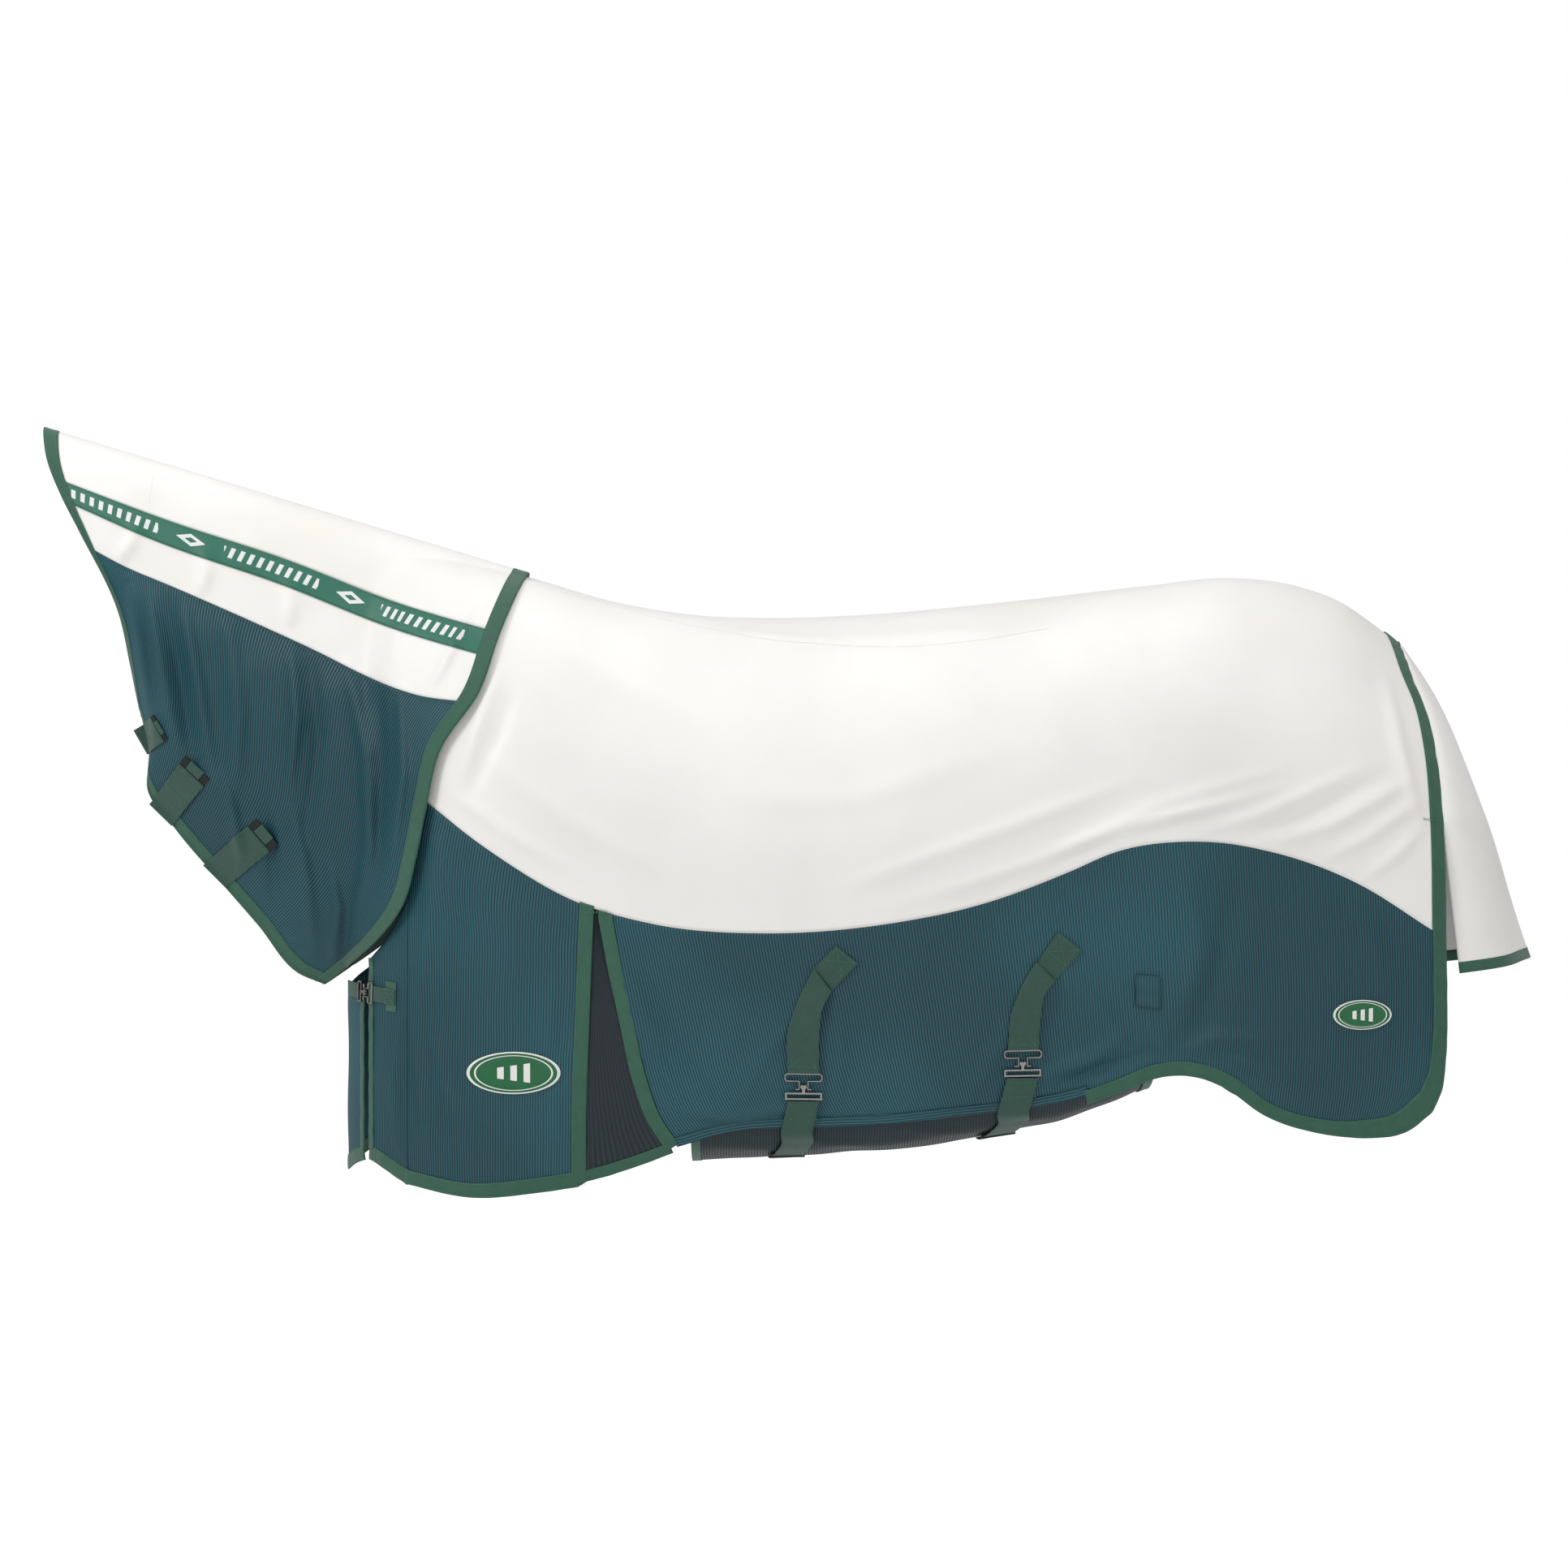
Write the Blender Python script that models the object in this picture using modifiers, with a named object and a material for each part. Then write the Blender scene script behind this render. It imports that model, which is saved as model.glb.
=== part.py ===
"""Fly sheet for a horse: body sheet, neck cover, tail flap and belly wrap, with their straps and clips.

The sheet hangs on the horse. The head is towards -X, the horse's left side is -Y, and the origin is
the lowest point of the back, on the spine.
"""

import math

import bmesh
import bpy
import numpy as np
from mathutils import Matrix, Vector

# Overall sizes, in metres. The outlines below are drawn for a sheet of the DRAWN sizes.
BODY_LENGTH = 1.79
BODY_DROP = 0.94
NECK_LENGTH = 0.80
BARREL_HALF_WIDTH = 0.305
DRAWN_LENGTH = 1.79
DRAWN_DROP = 0.94
DRAWN_NECK = 0.80
DRAWN_HALF_WIDTH = 0.305

# Cloth and trim.
CLOTH = 0.002
SEAM_GAP = 0.45 * CLOTH
SPINE_GAP = 0.0006
BINDING = 0.019
TAPE_CLEARANCE = 0.0006
STRIPE_WIDTH = 0.042
NECK_CLEARANCE = 0.006

# Webbing and fittings.
WEBBING = 0.050
WEBBING_THICK = 0.0016
STRAP_CLEARANCE = 0.0006
FACET_ALLOWANCE = 0.0004
FITTING_WIRE = 0.0018
FITTING_GAP = 0.0004
FITTING_HEIGHT = 0.012
POST_GAP = 0.014
POST_LENGTH = 0.014
STEM_LENGTH = 0.0056
BOSS_CLEARANCE = 0.0003
BOSS_WIDTH = POST_GAP - 2 * (FITTING_WIRE + BOSS_CLEARANCE)
CHEST_WEBBING = 0.025
FITTING_ROOM = 0.0045
FOOT_LENGTH = 0.0055
WIRE_CORNER = 0.003
CATCH_WALL = 0.0026
CATCH_THICK = 0.003
STEM_HALF = 0.0022
HEART_HEIGHT = 0.002
HEART_DIP = 0.0005
BADGE_THICK = 0.0014

LEFT, RIGHT = -1, 1

WHITE = (0.90, 0.89, 0.87, 1)
MESH = (0.020, 0.075, 0.090, 1)
GREEN = (0.030, 0.130, 0.085, 1)
STRAP = (0.022, 0.075, 0.058, 1)
METAL = (0.42, 0.42, 0.43, 1)
BADGE = (0.020, 0.180, 0.080, 1)
BLACK = (0.02, 0.02, 0.02, 1)


def material(name, colour, roughness=0.8, metallic=0.0):
    """A Principled material, made once for each name."""
    found = bpy.data.materials.get(name)
    if found:
        return found
    found = bpy.data.materials.new(name)
    found.use_nodes = True
    shader = found.node_tree.nodes["Principled BSDF"]
    shader.inputs["Base Color"].default_value = colour
    shader.inputs["Roughness"].default_value = roughness
    shader.inputs["Metallic"].default_value = metallic
    return found


def start_scene():
    for obj in list(bpy.data.objects):
        bpy.data.objects.remove(obj)
    sheet = bpy.data.collections.new("fly_sheet")
    bpy.context.scene.collection.children.link(sheet)
    return sheet


SHEET = start_scene()


def add(name, data, look):
    obj = bpy.data.objects.new(name, data)
    SHEET.objects.link(obj)
    data.materials.append(look)
    return obj


# ---------------------------------------------------------------------------------------------
# Curves through a few points
# ---------------------------------------------------------------------------------------------


def profile(points):
    """A smooth function through (place, value) points, flat beyond its ends."""
    places, values = np.array(points, float).T
    slopes = np.gradient(values, places)

    def value(at):
        at = np.clip(at, places[0], places[-1])
        i = np.clip(np.searchsorted(places, at) - 1, 0, len(places) - 2)
        step = places[i + 1] - places[i]
        t = (at - places[i]) / step
        rise = values[i + 1] - values[i]
        bend = slopes[i] * (1 - t) ** 2 * t - slopes[i + 1] * t**2 * (1 - t)
        return values[i] + rise * (3 * t**2 - 2 * t**3) + step * bend

    return value


def run(points, count):
    """count points evenly spread along a smooth line through the points given."""
    points = np.array(points, float)
    lengths = np.linalg.norm(np.diff(points, axis=0), axis=1)
    along = np.concatenate([[0], np.cumsum(lengths)]) / lengths.sum()
    sides = [profile(list(zip(along, column))) for column in points.T]
    return np.array([[side(t) for side in sides] for t in np.linspace(0, 1, count)])


def coons(top, bottom, start, end):
    """A grid between four lines: top and bottom run one way, start and end the other."""
    top, bottom, start, end = (np.asarray(line, float) for line in (top, bottom, start, end))
    u = np.linspace(0, 1, len(top))[:, None, None]
    v = np.linspace(0, 1, len(start))[None, :, None]
    across = (1 - v) * top[:, None] + v * bottom[:, None]
    down = (1 - u) * start[None] + u * end[None]
    corners = (1 - v) * ((1 - u) * top[0] + u * top[-1]) + v * ((1 - u) * bottom[0] + u * bottom[-1])
    return across + down - corners


def pulled_in(grid, gap):
    """The grid with its outer rows moved inwards by gap, which leaves room for the seam."""
    grid = grid.copy()
    for rows in (grid, grid[::-1], grid.swapaxes(0, 1), grid[:, ::-1].swapaxes(0, 1)):
        step = rows[1] - rows[0]
        rows[0] += step * (gap / np.linalg.norm(step, axis=-1))[:, None]
    return grid


def offset_line(line, by):
    """A flat line moved sideways, to the left of the way it runs, with mitred corners."""
    line = np.asarray(line, float)
    ways = np.diff(line, axis=0)
    ways /= np.linalg.norm(ways, axis=1)[:, None]
    sides = np.stack([-ways[:, 1], ways[:, 0]], axis=1)
    before = np.vstack([sides[:1], sides])
    after = np.vstack([sides, sides[-1:]])
    mitre = before + after
    mitre /= np.maximum(0.5, (mitre * before).sum(axis=1))[:, None]
    return line + mitre * by


# ---------------------------------------------------------------------------------------------
# The form that the body sheet lies on
# ---------------------------------------------------------------------------------------------

LONG = BODY_LENGTH / DRAWN_LENGTH
DROP = BODY_DROP / DRAWN_DROP
WIDE = BARREL_HALF_WIDTH / DRAWN_HALF_WIDTH

BACK_LINE = profile([
    (-0.76, 0.13), (-0.55, 0.10), (-0.41, 0.066), (-0.27, 0.026), (-0.14, 0.005), (0.0, 0.0),
    (0.12, 0.004), (0.39, 0.028), (0.6, 0.052), (0.75, 0.066), (0.86, 0.052), (0.93, 0.026),
    (0.98, -0.008), (1.02, -0.040), (1.10, -0.12),
])
HALF_WIDTH = profile([
    (-0.76, 0.23), (-0.45, 0.24), (-0.3, 0.25), (0, 0.285), (0.3, 0.305), (0.5, 0.295), (0.7, 0.28),
    (0.9, 0.25), (1.0, 0.225), (1.10, 0.195),
])
WIDEST_DEPTH = profile([(-0.76, 0.42), (-0.45, 0.42), (0, 0.40), (0.3, 0.38), (0.7, 0.36), (1.1, 0.36)])
TUCK = profile([
    (-0.76, 0.0), (-0.45, 0.01), (-0.2, 0.07), (0.2, 0.10), (0.45, 0.09), (0.7, 0.04), (1.1, 0.03),
])
TUCK_DEPTH = 0.5
CHEST_TURN = -0.45
CHEST_REACH = 0.262
CHEST_GIRTH = 0.40


def chest(xi):
    """The drawn x, and the share of the half width left, at a place xi along the side."""
    if xi >= CHEST_TURN:
        return xi, 1.0
    angle = (CHEST_TURN - xi) / CHEST_GIRTH * math.pi / 2
    return CHEST_TURN - CHEST_REACH * math.sin(angle), math.cos(angle)


def quarter_girth(x):
    """The length round the back, from the spine to the widest point."""
    wide, deep = HALF_WIDTH(x), WIDEST_DEPTH(x)
    return math.pi / 2 * math.sqrt((wide * wide + deep * deep) / 2)


def trunk(xi, g, side):
    """A point of the form, from the place along the side and the girth distance from the spine."""
    x, share = chest(xi)
    wide, deep, quarter = HALF_WIDTH(x), WIDEST_DEPTH(x), quarter_girth(x)
    if g < quarter:
        angle = g / quarter * math.pi / 2
        y, depth = wide * math.sin(angle), deep * (1 - math.cos(angle))
    else:
        depth = deep + g - quarter
        y = wide - TUCK(x) * ((g - quarter) / TUCK_DEPTH) ** 2
    return np.array([x * LONG, side * y * share * WIDE, (BACK_LINE(x) - depth) * DROP])


def on_trunk(xi, g, side, out=0.0):
    """A point at a height out above the form."""
    point = trunk(xi, g, side)
    if out == 0.0:
        return point
    step = 0.004
    along = trunk(xi + step, g, side) - trunk(xi - step, g, side)
    down = trunk(xi, g + step, side) - trunk(xi, max(g - step, 0), side)
    normal = np.cross(along, down) * side
    return point + normal / np.linalg.norm(normal) * out


def laid(x, z):
    """The place (xi, g) on the form of a point drawn in the side view."""
    xi = x
    if x < CHEST_TURN:
        angle = math.asin(min(1.0, (CHEST_TURN - x) / CHEST_REACH))
        xi = CHEST_TURN - angle / (math.pi / 2) * CHEST_GIRTH
    depth, deep, quarter = BACK_LINE(x) - z, WIDEST_DEPTH(x), quarter_girth(x)
    if depth < deep:
        return xi, math.acos(max(-1.0, 1 - max(depth, 0) / deep)) / (math.pi / 2) * quarter
    return xi, quarter + depth - deep


def laid_line(points, count):
    return np.array([laid(x, z) for x, z in run(points, count)])


# ---------------------------------------------------------------------------------------------
# Cloth solids
# ---------------------------------------------------------------------------------------------


def cloth(name, grid, look, thick=CLOTH, flip=False):
    """A grid of points as a sheet with a thickness, half of it each side of the points."""
    columns, rows = grid.shape[:2]
    mesh = bmesh.new()
    bmesh.ops.create_grid(mesh, x_segments=columns - 1, y_segments=rows - 1, size=1)
    for vert in mesh.verts:
        i = round((vert.co.x + 1) / 2 * (columns - 1))
        j = round((vert.co.y + 1) / 2 * (rows - 1))
        vert.co = Vector(grid[i, j])
    if flip:
        bmesh.ops.reverse_faces(mesh, faces=mesh.faces)
    data = bpy.data.meshes.new(name)
    mesh.to_mesh(data)
    mesh.free()
    data.shade_smooth()
    obj = add(name, data, look)
    wall = obj.modifiers.new("thickness", "SOLIDIFY")
    wall.thickness = thick
    wall.offset = 0
    wall.use_even_offset = True
    return obj


def trunk_panel(name, flat, side, look, out=0.0, gap=SEAM_GAP / 2, thick=CLOTH):
    """A panel on the form, from a grid of (xi, g) places."""
    grid = np.array([[on_trunk(xi, g, side, out) for xi, g in column] for column in flat])
    return cloth(name, pulled_in(grid, gap), look, thick, flip=side == RIGHT)


def trunk_tape(name, line, side, look, width=BINDING, out=0.0, start=SEAM_GAP / 2, thick=CLOTH):
    """A tape that continues the form beyond an edge, to the left of the way the edge runs."""
    inner, outer = offset_line(line, start), offset_line(line, start + width)
    flat = np.stack([inner, outer], axis=1)
    flat[..., 1] = np.maximum(flat[..., 1], SPINE_GAP)
    grid = np.array([[on_trunk(xi, g, side, out) for xi, g in column] for column in flat])
    return cloth(name, grid, look, thick, flip=side == RIGHT)


# ---------------------------------------------------------------------------------------------
# Body sheet: outlines drawn in the side view, as (x, z)
# ---------------------------------------------------------------------------------------------

SEAM = profile([
    (-0.59, -0.285), (-0.465, -0.38), (-0.335, -0.458), (-0.205, -0.497), (-0.025, -0.512), (0.155, -0.499),
    (0.335, -0.461), (0.465, -0.412), (0.53, -0.384), (0.655, -0.366), (0.79, -0.384), (0.92, -0.431),
    (1.054, -0.512),
])
HEM = profile([
    (-0.165, -0.855), (-0.08, -0.83), (0.05, -0.822), (0.18, -0.815), (0.30, -0.802), (0.40, -0.790),
    (0.47, -0.776), (0.535, -0.753), (0.61, -0.724), (0.675, -0.725), (0.727, -0.747), (0.78, -0.786),
    (0.86, -0.814), (0.94, -0.819), (1.0, -0.805), (1.035, -0.775),
])
NECKLINE = [(-0.43, 0.069), (-0.465, -0.03), (-0.505, -0.12), (-0.56, -0.225), (-0.59, -0.285)]
NECKLINE_FOOT = [(-0.59, -0.285), (-0.603, -0.37), (-0.598, -0.45)]
REAR_TOP = [
    (1.004, -0.026), (1.016, -0.094), (1.034, -0.148), (1.046, -0.227), (1.051, -0.332), (1.054, -0.512),
]
REAR_FOOT = [(1.054, -0.512), (1.056, -0.60), (1.055, -0.69), (1.048, -0.745), (1.035, -0.775)]
FLAP_HINGE_X = -0.598
FLAP_HINGE_TOP = -0.455
FLAP_HINGE_FOOT = -0.900
FLAP_EDGE_X = -0.663
SHOULDER_HEM = [(FLAP_HINGE_X, -0.900), (-0.494, -0.918), (-0.391, -0.911), (-0.330, -0.903)]
SHOULDER_REAR = [(-0.3145, -0.474), (-0.323, -0.657), (-0.329, -0.807), (-0.330, -0.885)]
GUSSET_TOP_WIDTH = 0.006
GUSSET_REAR = [(-0.255, -0.568), (-0.236, -0.656), (-0.216, -0.748), (-0.195, -0.808), (-0.165, -0.855)]
TACK_DROP = 0.009
HAUNCH_BINDING_START = 0.49

FRONT_COLUMNS, REAR_COLUMNS, TOP_ROWS, SIDE_ROWS = 8, 21, 7, 6

seam_x_front = np.linspace(-0.59, SHOULDER_REAR[0][0], FRONT_COLUMNS)
gusset_x = SHOULDER_REAR[0][0] + BINDING + SEAM_GAP
gusset_end_x = gusset_x + GUSSET_TOP_WIDTH
side_x = gusset_end_x + BINDING + SEAM_GAP
seam_x_rear = np.linspace(side_x, REAR_TOP[-1][0], REAR_COLUMNS)


def seam_line(places):
    return np.array([laid(x, SEAM(x)) for x in places])


front_edge = laid_line(NECKLINE, TOP_ROWS)
front_edge[0, 1] = SPINE_GAP
rear_edge = laid_line(REAR_TOP, TOP_ROWS)
rear_edge[0, 1] = SPINE_GAP
seam_columns = np.concatenate([seam_x_front, [gusset_x, gusset_end_x], seam_x_rear])
spine_x = np.interp(seam_columns, seam_columns[[0, -1]], [NECKLINE[0][0], REAR_TOP[0][0]])
spine = np.stack([spine_x, np.full(len(seam_columns), SPINE_GAP)], axis=1)

shoulder_rear = np.vstack([
    seam_line([SHOULDER_REAR[0][0]]),
    laid_line([(SHOULDER_REAR[0][0], SEAM(SHOULDER_REAR[0][0]) - TACK_DROP)] + SHOULDER_REAR[1:],
              SIDE_ROWS),
    [laid(*SHOULDER_HEM[-1])],
])
hinge_rows = laid_line([(FLAP_HINGE_X, FLAP_HINGE_TOP), (FLAP_HINGE_X, FLAP_HINGE_FOOT)], SIDE_ROWS)
shoulder_front = np.vstack([laid_line(NECKLINE_FOOT, 3)[:2], hinge_rows])
shoulder_hem = laid_line(SHOULDER_HEM, FRONT_COLUMNS)
side_front = np.vstack([
    seam_line([side_x]),
    laid_line([(side_x, SEAM(side_x) - TACK_DROP)] + GUSSET_REAR, SIDE_ROWS),
])
side_rear = laid_line(REAR_FOOT, SIDE_ROWS + 1)
hem_x = np.linspace(GUSSET_REAR[-1][0], REAR_FOOT[-1][0], REAR_COLUMNS)
side_hem = np.array([laid(x, HEM(x)) for x in hem_x])


def body_sheet(side, word):
    """The panels and tapes of one side of the body sheet."""
    white = material("white_polyester", WHITE)
    mesh = material("teal_mesh", MESH)
    green = material("green_binding", GREEN)
    top = coons(spine, seam_line(seam_columns), front_edge, rear_edge)
    trunk_panel(f"top_panel_{word}", top, side, white)
    shoulder = coons(seam_line(seam_x_front), shoulder_hem, shoulder_front, shoulder_rear)
    trunk_panel(f"shoulder_panel_{word}", shoulder, side, mesh)
    side_grid = coons(seam_line(seam_x_rear), side_hem, side_front, side_rear)
    trunk_panel(f"side_panel_{word}", side_grid, side, mesh)

    shoulder_edge = np.vstack([shoulder_hem[:-1], shoulder_rear[:0:-1]])
    trunk_tape(f"shoulder_binding_{word}", shoulder_edge, side, green)
    trunk_tape(f"gusset_binding_{word}", side_front[1:], side, green)
    inside = BINDING + SEAM_GAP
    gusset_start = offset_line(shoulder_rear[:0:-1], inside)[:0:-1]
    gusset_stop = offset_line(side_front[1:], inside)
    gusset_head = np.linspace(gusset_start[0], gusset_stop[0], 2)
    gusset_foot = np.linspace(gusset_start[-1], gusset_stop[-1], 2)
    gusset = coons(gusset_head, gusset_foot, gusset_start, gusset_stop)
    trunk_panel(f"shoulder_gusset_{word}", gusset, side, mesh)

    haunch_hem = side_hem[hem_x > HAUNCH_BINDING_START]
    haunch_edge = np.vstack([haunch_hem[:-1], side_rear[::-1][:-1], rear_edge[::-1]])
    trunk_tape(f"rear_binding_{word}", haunch_edge, side, green)


def chest_place(degrees, z):
    """A place on the form at an angle round the chest, which is 0 at the shoulder and 90 at its front."""
    x = CHEST_TURN - CHEST_REACH * math.sin(math.radians(degrees))
    return CHEST_TURN - degrees / 90 * CHEST_GIRTH, laid(x, z)[1]


def chest_angle(x):
    return math.degrees(math.asin((CHEST_TURN - x) / CHEST_REACH))


# Round the chest, the places are angles.
FLAP_COLUMNS = 4
FAR_FLAP_COLUMNS = 12
FAR_FLAP_END = 120
FLAP_HEM = profile([(34, FLAP_HINGE_FOOT), (54, -0.866), (90, -0.893), (FAR_FLAP_END, -0.868)])
FLAP_NECKLINE = profile([
    (34, FLAP_HINGE_TOP), (40, -0.500), (54, -0.556), (75, -0.594), (90, -0.608), (FAR_FLAP_END, -0.612),
])


def front_flap(side, word, last_angle, columns):
    """The front of the sheet, from its hinge at the shoulder round the chest, with its hem tape."""
    start = chest_angle(FLAP_HINGE_X)
    angles = np.linspace(start, last_angle, columns)
    top = np.array([chest_place(angle, FLAP_NECKLINE(angle)) for angle in angles])
    foot = np.array([chest_place(angle, FLAP_HEM(angle)) for angle in angles])
    top[0], foot[0] = hinge_rows[0], hinge_rows[-1]
    closing = np.linspace(top[-1], foot[-1], SIDE_ROWS)
    mesh = material("teal_mesh", MESH)
    trunk_panel(f"front_flap_{word}", coons(top, foot, hinge_rows, closing), side, mesh)
    trunk_tape(f"front_flap_binding_{word}", foot[::-1], side, material("green_binding", GREEN))


# ---------------------------------------------------------------------------------------------
# Tail flap
# ---------------------------------------------------------------------------------------------

TAIL_CENTRE = [
    (1.024, -0.040), (1.076, -0.118), (1.130, -0.239), (1.172, -0.345), (1.206, -0.455), (1.236, -0.548),
]
TAIL_TACK = -0.333
TAIL_EDGE_FOOT = (1.096, 0.186, -0.566)
TAIL_COLUMNS = 13
TAIL_ROWS = 5
TAIL_GAP = 0.0008
TAIL_PEAK_SHARE = 0.22
INSERT_ARCH = 0.012
FLAP_SAG = 0.018
TAIL_BINDING = 0.015


def tail_row(edge, centre):
    """Points round the tail from one edge, through the centre line, to the other edge."""
    row = []
    for share in np.linspace(-1, 1, TAIL_COLUMNS):
        angle = abs(share) * math.pi / 2
        x = edge[0] + (centre[0] - edge[0]) * math.cos(angle)
        z = centre[1] + (edge[2] - centre[1]) * (1 - math.cos(angle))
        row.append((x, math.copysign(edge[1] * math.sin(angle), share), z))
    return row


def tail():
    white = material("white_polyester", WHITE)
    scale = np.array([LONG, WIDE, DROP])
    centre = run([(x * LONG, z * DROP) for x, z in TAIL_CENTRE], 41)
    centre_at = profile([(-z, x) for x, z in centre])
    outer = offset_line(rear_edge, -(SEAM_GAP / 2 + BINDING))
    edges = np.array([trunk(xi, max(g, SPINE_GAP), RIGHT) for xi, g in outer])
    tack = TAIL_TACK * DROP
    last = [np.interp(-tack, -edges[:, 2], column) for column in edges.T]
    peak = edges[0] + (edges[1] - edges[0]) * TAIL_PEAK_SHARE
    edges = np.vstack([peak, edges[edges[:, 2] > tack + TAIL_GAP][1:], last]) + [TAIL_GAP, 0, 0]
    rows = []
    for edge, rise in zip(edges, np.linspace(INSERT_ARCH, 0, len(edges)) * DROP):
        rows.append(tail_row(edge, (centre_at(-edge[2] - rise), edge[2] + rise)))
    cloth("tail_insert", np.array(rows), white)

    top, foot = edges[-1] - [0, 0, TAIL_GAP], np.array(TAIL_EDGE_FOOT) * scale
    rows = []
    for share in np.linspace(0, 1, TAIL_ROWS):
        edge = top + (foot - top) * share
        z = edge[2] + FLAP_SAG * share * DROP
        rows.append(tail_row(edge, (centre_at(-z), z)))
    rows = np.array(rows)
    cloth("tail_flap", rows, white)
    way = rows[-1] - rows[-2]
    way /= np.linalg.norm(way, axis=1)[:, None]
    tape = np.stack([rows[-1] + way * SEAM_GAP, rows[-1] + way * (SEAM_GAP + TAIL_BINDING)])
    cloth("tail_flap_binding", tape, material("green_binding", GREEN))


# ---------------------------------------------------------------------------------------------
# Neck cover
# ---------------------------------------------------------------------------------------------

POLL = (-1.217, 0.316)
WITHERS = (-0.414, 0.0745)
THROAT_TOP = (-1.060, -0.146)
NECK_FOOT = (-0.752, -0.606)
NECK_FRONT = [
    POLL, (-1.204, 0.260), (-1.177, 0.198), (-1.147, 0.142), (-1.080, 0.0), (-1.067, -0.08), THROAT_TOP,
]
THROAT = [
    THROAT_TOP, (-1.043, -0.223), (-1.045, -0.285), (-1.001, -0.347), (-0.913, -0.45), (-0.861, -0.51),
    (-0.795, -0.588), NECK_FOOT,
]
NECK_BACK = [
    WITHERS, (-0.451, -0.031), (-0.48, -0.124), (-0.545, -0.225), (-0.564, -0.305), (-0.581, -0.387),
    (-0.606, -0.472), (-0.648, -0.525), (-0.70, -0.568), NECK_FOOT,
]
STRIPE_TOP = profile([(-1.20, 0.232), (-0.989, 0.153), (-0.818, 0.097), (-0.614, 0.018), (-0.42, -0.040)])
NECK_SEAM = profile([
    (-1.12, 0.108), (-1.073, 0.083), (-0.993, 0.049), (-0.849, -0.014), (-0.743, -0.063),
    (-0.677, -0.096), (-0.579, -0.132), (-0.50, -0.143),
])
NECK_HALF_WIDTH = profile([(0, 0.085), (0.3, 0.105), (0.7, 0.125), (1, 0.15)])
NECK_COLUMNS = 14
CREST_LENGTH = 0.696
THROAT_GAP = 0.006
THROAT_NARROWING = 0.4
MELD = 0.012

NECK_SHARE = NECK_LENGTH / DRAWN_NECK


def along_line(points):
    """The x and the z of a drawn line, each as a function of the share of its length."""
    shares = np.linspace(0, 1, 61)
    return [profile(list(zip(shares, column))) for column in run(points, len(shares)).T]


throat_at, neck_front_at, neck_back_at = (along_line(line) for line in (THROAT, NECK_FRONT, NECK_BACK))


def neck_flat(u, q):
    """The drawn (x, z) at u along the neck, from the poll back, and q down from the crest to the throat."""
    flat = []
    for k in (0, 1):
        ends = (1 - u) * neck_front_at[k](q) + u * neck_back_at[k](q)
        straight = (1 - u) * THROAT_TOP[k] + u * NECK_FOOT[k]
        flat.append(ends + q * (throat_at[k](u) - straight))
    return flat


def trunk_half_width(x, z):
    """The half width of the form at a drawn (x, z), or nought outside it."""
    depth = BACK_LINE(x) - z
    if depth <= 0 or x <= CHEST_TURN - CHEST_REACH:
        return 0.0
    xi, g = laid(x, z)
    return trunk(xi, g, RIGHT)[1]


def neck(u, q, side, out=0.0):
    """A point of the neck cover, which stands clear of the shoulders where it overlaps them."""
    x, z = neck_flat(u, q)
    below = max(0.0, 2 * q - 1)
    power = 0.5 + THROAT_NARROWING * below**2 * (3 - 2 * below)
    own = NECK_HALF_WIDTH(u) * max(0.0, 1 - (1 - 2 * q) ** 2) ** power * WIDE
    over = trunk_half_width(x, z)
    if over:
        over += NECK_CLEARANCE * (1 + 3 * q)
    y = (own + over + math.sqrt((own - over) ** 2 + (MELD * min(1.0, 4 * q * (1 - q))) ** 2)) / 2
    y = max(y, THROAT_GAP * q * min(1, 4 * q)) + out
    pivot = WITHERS[0]
    return np.array([(pivot + (x - pivot) * NECK_SHARE) + pivot * (LONG - 1), side * y, z * DROP])


def neck_row(u, line):
    """How far down the neck a drawn line crosses it, at u along."""
    low, high = 0.0, 1.0
    for _ in range(40):
        middle = (low + high) / 2
        x, z = neck_flat(u, middle)
        low, high = (middle, high) if z > line(x) else (low, middle)
    return low


def neck_length_down(u):
    flat = np.array([neck_flat(u, q) for q in np.linspace(0, 1, 9)])
    return np.linalg.norm(np.diff(flat, axis=0), axis=1).sum()


def spaced(low, high, count):
    """Rows from low to high, closer together near the crest, where the cover bends most."""
    turns = np.linspace(math.acos(1 - 2 * low), math.acos(1 - 2 * high), count)
    return (1 - np.cos(turns)) / 2


def crest_row(u):
    return 0.0


def stripe_top_row(u):
    return neck_row(u, STRIPE_TOP)


def stripe_foot_row(u):
    return stripe_top_row(u) + STRIPE_WIDTH / neck_length_down(u)


def neck_seam_row(u):
    return neck_row(u, NECK_SEAM)


def throat_row(u):
    return 1 - BINDING / neck_length_down(u)


def foot_row(u):
    return 1.0


# Each band of the neck cover: its name, its upper and lower edge, and how many rows of points it has.
NECK_BANDS = [
    ("neck_crest_panel", crest_row, stripe_top_row, 4),
    ("neck_stripe", stripe_top_row, stripe_foot_row, 2),
    ("neck_band", stripe_foot_row, neck_seam_row, 3),
    ("neck_mesh", neck_seam_row, throat_row, 7),
    ("throat_binding", throat_row, foot_row, 2),
]


def neck_grid(columns, low, high, rows, side):
    return np.array([[neck(u, q, side) for q in spaced(low(u), high(u), rows)] for u in columns])


def both_sides(half):
    """A grid of the right side, from the crest down, with its mirror image added on the left."""
    return np.concatenate([half[:, :0:-1] * (1, -1, 1), half], axis=1)


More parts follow.
